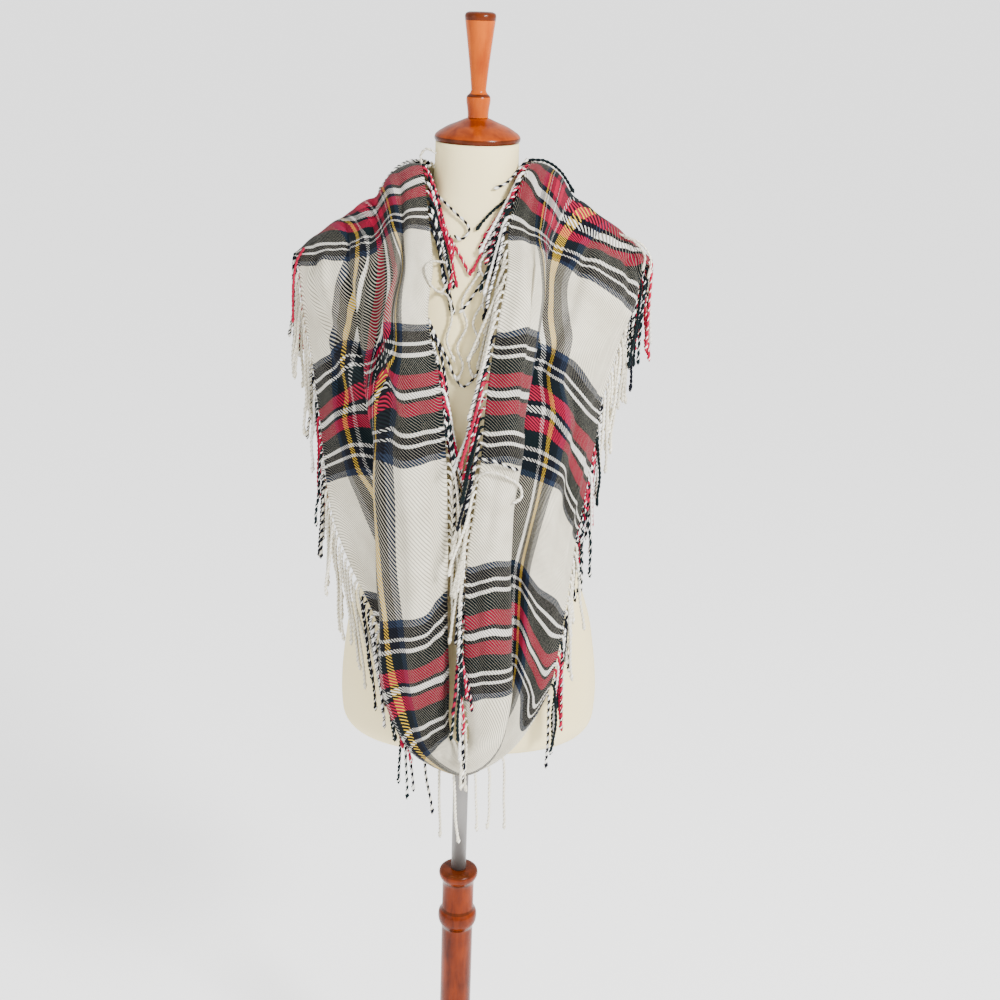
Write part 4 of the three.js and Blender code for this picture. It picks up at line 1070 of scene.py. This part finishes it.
finialTurning = {
    "foot": [(0, 1526 + seat)],
    "stem": [(11.9, 1526.4), (12.0, 1531), (12.6, 1537), (13.8, 1545), (13.2, 1550), (10.2, 1553),
             (8.7, 1556), (8.9, 1561), (11, 1582), (14.6, 1612), (17.2, 1632), (17.6, 1636),
             (16.6, 1639.2), (13.5, 1640.8)],
    "top": [(6, 1641), (0, 1641)],
    "rims": [(1632, 1642), (1549, 1552.5)],
}
finial = turned("finial", [*finialTurning["foot"], *smoothProfile(finialTurning["stem"]),
                           *finialTurning["top"]], [honeyWood, rimWood], finialTurning["rims"])
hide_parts("finial")

poleTube = {"radius": 10.2, "foot": 518 + seat, "top": 742 - seat, "segments": 64}
pole = turned("pole", [(0, poleTube["foot"]), (poleTube["radius"], poleTube["foot"]),
                       (poleTube["radius"], poleTube["top"]), (0, poleTube["top"])],
              [steel], segments=poleTube["segments"])
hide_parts("pole")

postTurning = {
    "foot": [(0, 34 + seat), (46, 34 + seat)],
    "collar": [(46, 34.6), (46, 41), (42, 47), (33, 56), (25.5, 70), (22, 88), (21.7, 100)],
    "shaftTop": [(21.7, 420)],
    "ring": [(21.7, 424), (23.5, 428), (26, 434), (26.8, 441), (26, 447.5), (23.5, 452), (21.7, 456)],
    "neck": [(21.7, 492)],
    "lip": [(21.7, 496), (23, 500.5), (25.8, 506), (26.8, 511), (25.6, 515), (22, 517.3), (18, 518)],
    "top": [(0, 518)],
    "rims": [(514, 520), (498, 503), (425, 430), (452, 456)],
}
post = turned("post", [*postTurning["foot"], *smoothProfile(postTurning["collar"]), *postTurning["shaftTop"],
                       *smoothProfile(postTurning["ring"]), *postTurning["neck"],
                       *smoothProfile(postTurning["lip"]), *postTurning["top"]],
              [postWood, rimWood], postTurning["rims"])
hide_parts("post")

baseDisc = {
    "foot": [(0, 0), (156, 0)],
    "edge": [(156.5, 0.3), (160, 4), (160, 14), (157, 18), (152, 21)],
    "slope": [(150, 21.6), (142, 24), (100, 28), (66, 31), (52, 34)],
    "top": [(0, 34)],
    "roundSteps": 4,
    "segments": 128,
}
base = turned("base", [*baseDisc["foot"], *smoothProfile(baseDisc["edge"], baseDisc["roundSteps"]),
                       *smoothProfile(baseDisc["slope"], baseDisc["roundSteps"]), *baseDisc["top"]],
              [postWood], segments=baseDisc["segments"])
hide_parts("base")
print("stand ready")

# Stage, metres
studio = {
    "floorHalf": 600.0,
    "floorDrop": 0.0005,
    "floorColour": (0.95, 0.95, 0.95, 1),
    "floorGlow": 1.0,
    "skyStrength": 1.15,
    "lights": {
        "keyLight": {"place": (1.8, -1.9, 2.8), "aim": (0, 0, 1.2), "width": 0.7, "power": 190},
        "fillLight": {"place": (-2.0, -1.6, 1.8), "aim": (0, 0, 1.1), "width": 1.6, "power": 12},
    },
}
floorMesh = bpy.data.meshes.new("floor")
bm = bmesh.new()
bmesh.ops.create_grid(bm, x_segments=1, y_segments=1, size=studio["floorHalf"],
                      matrix=Matrix.Translation((0, 0, -studio["floorDrop"])))
bm.to_mesh(floorMesh)
bm.free()
floorNodes = Nodes("floorPale")
floorNodes.principled(Base_Color=studio["floorColour"], Roughness=0.9, Emission_Color=(1, 1, 1, 1),
                      Emission_Strength=studio["floorGlow"])
floorMesh.materials.append(floorNodes.material)
floor = bpy.data.objects.new("floor", floorMesh)
bpy.context.scene.collection.objects.link(floor)

world = bpy.data.worlds.new("studio")
bpy.context.scene.world = world
world.use_nodes = True
sky = world.node_tree.nodes["Background"]
sky.inputs["Color"].default_value = (1, 1, 1, 1)
sky.inputs["Strength"].default_value = studio["skyStrength"]


def areaLight(name, place, aim, width, power):
    data = bpy.data.lights.new(name, "AREA")
    data.shape = "DISK"
    data.size = width
    data.energy = power
    light = bpy.data.objects.new(name, data)
    bpy.context.scene.collection.objects.link(light)
    light.location = place
    light.rotation_mode = "QUATERNION"
    light.rotation_quaternion = (Vector(place) - Vector(aim)).to_track_quat("Z", "Y")


for lightName, lightValues in studio["lights"].items():
    areaLight(lightName, **lightValues)

# Camera, as found from the photo
view = {"lens": 52.2, "sensor": 36.0, "place": (0.040, -1.7015, 1.698), "pitch": 20.5, "roll": 1.96}
cameraData = bpy.data.cameras.new("camera")
cameraData.lens = view["lens"]
cameraData.sensor_width = view["sensor"]
camera = bpy.data.objects.new("camera", cameraData)
bpy.context.scene.collection.objects.link(camera)
pitch, roll = math.radians(view["pitch"]), math.radians(view["roll"])
cr, sr, cp, sp = math.cos(roll), math.sin(roll), math.cos(pitch), math.sin(pitch)
camera.matrix_world = Matrix((
    (cr, -sr, 0, view["place"][0]),
    (sr * sp, cr * sp, -cp, view["place"][1]),
    (sr * cp, cr * cp, sp, view["place"][2]),
    (0, 0, 0, 1),
))
bpy.context.scene.camera = camera
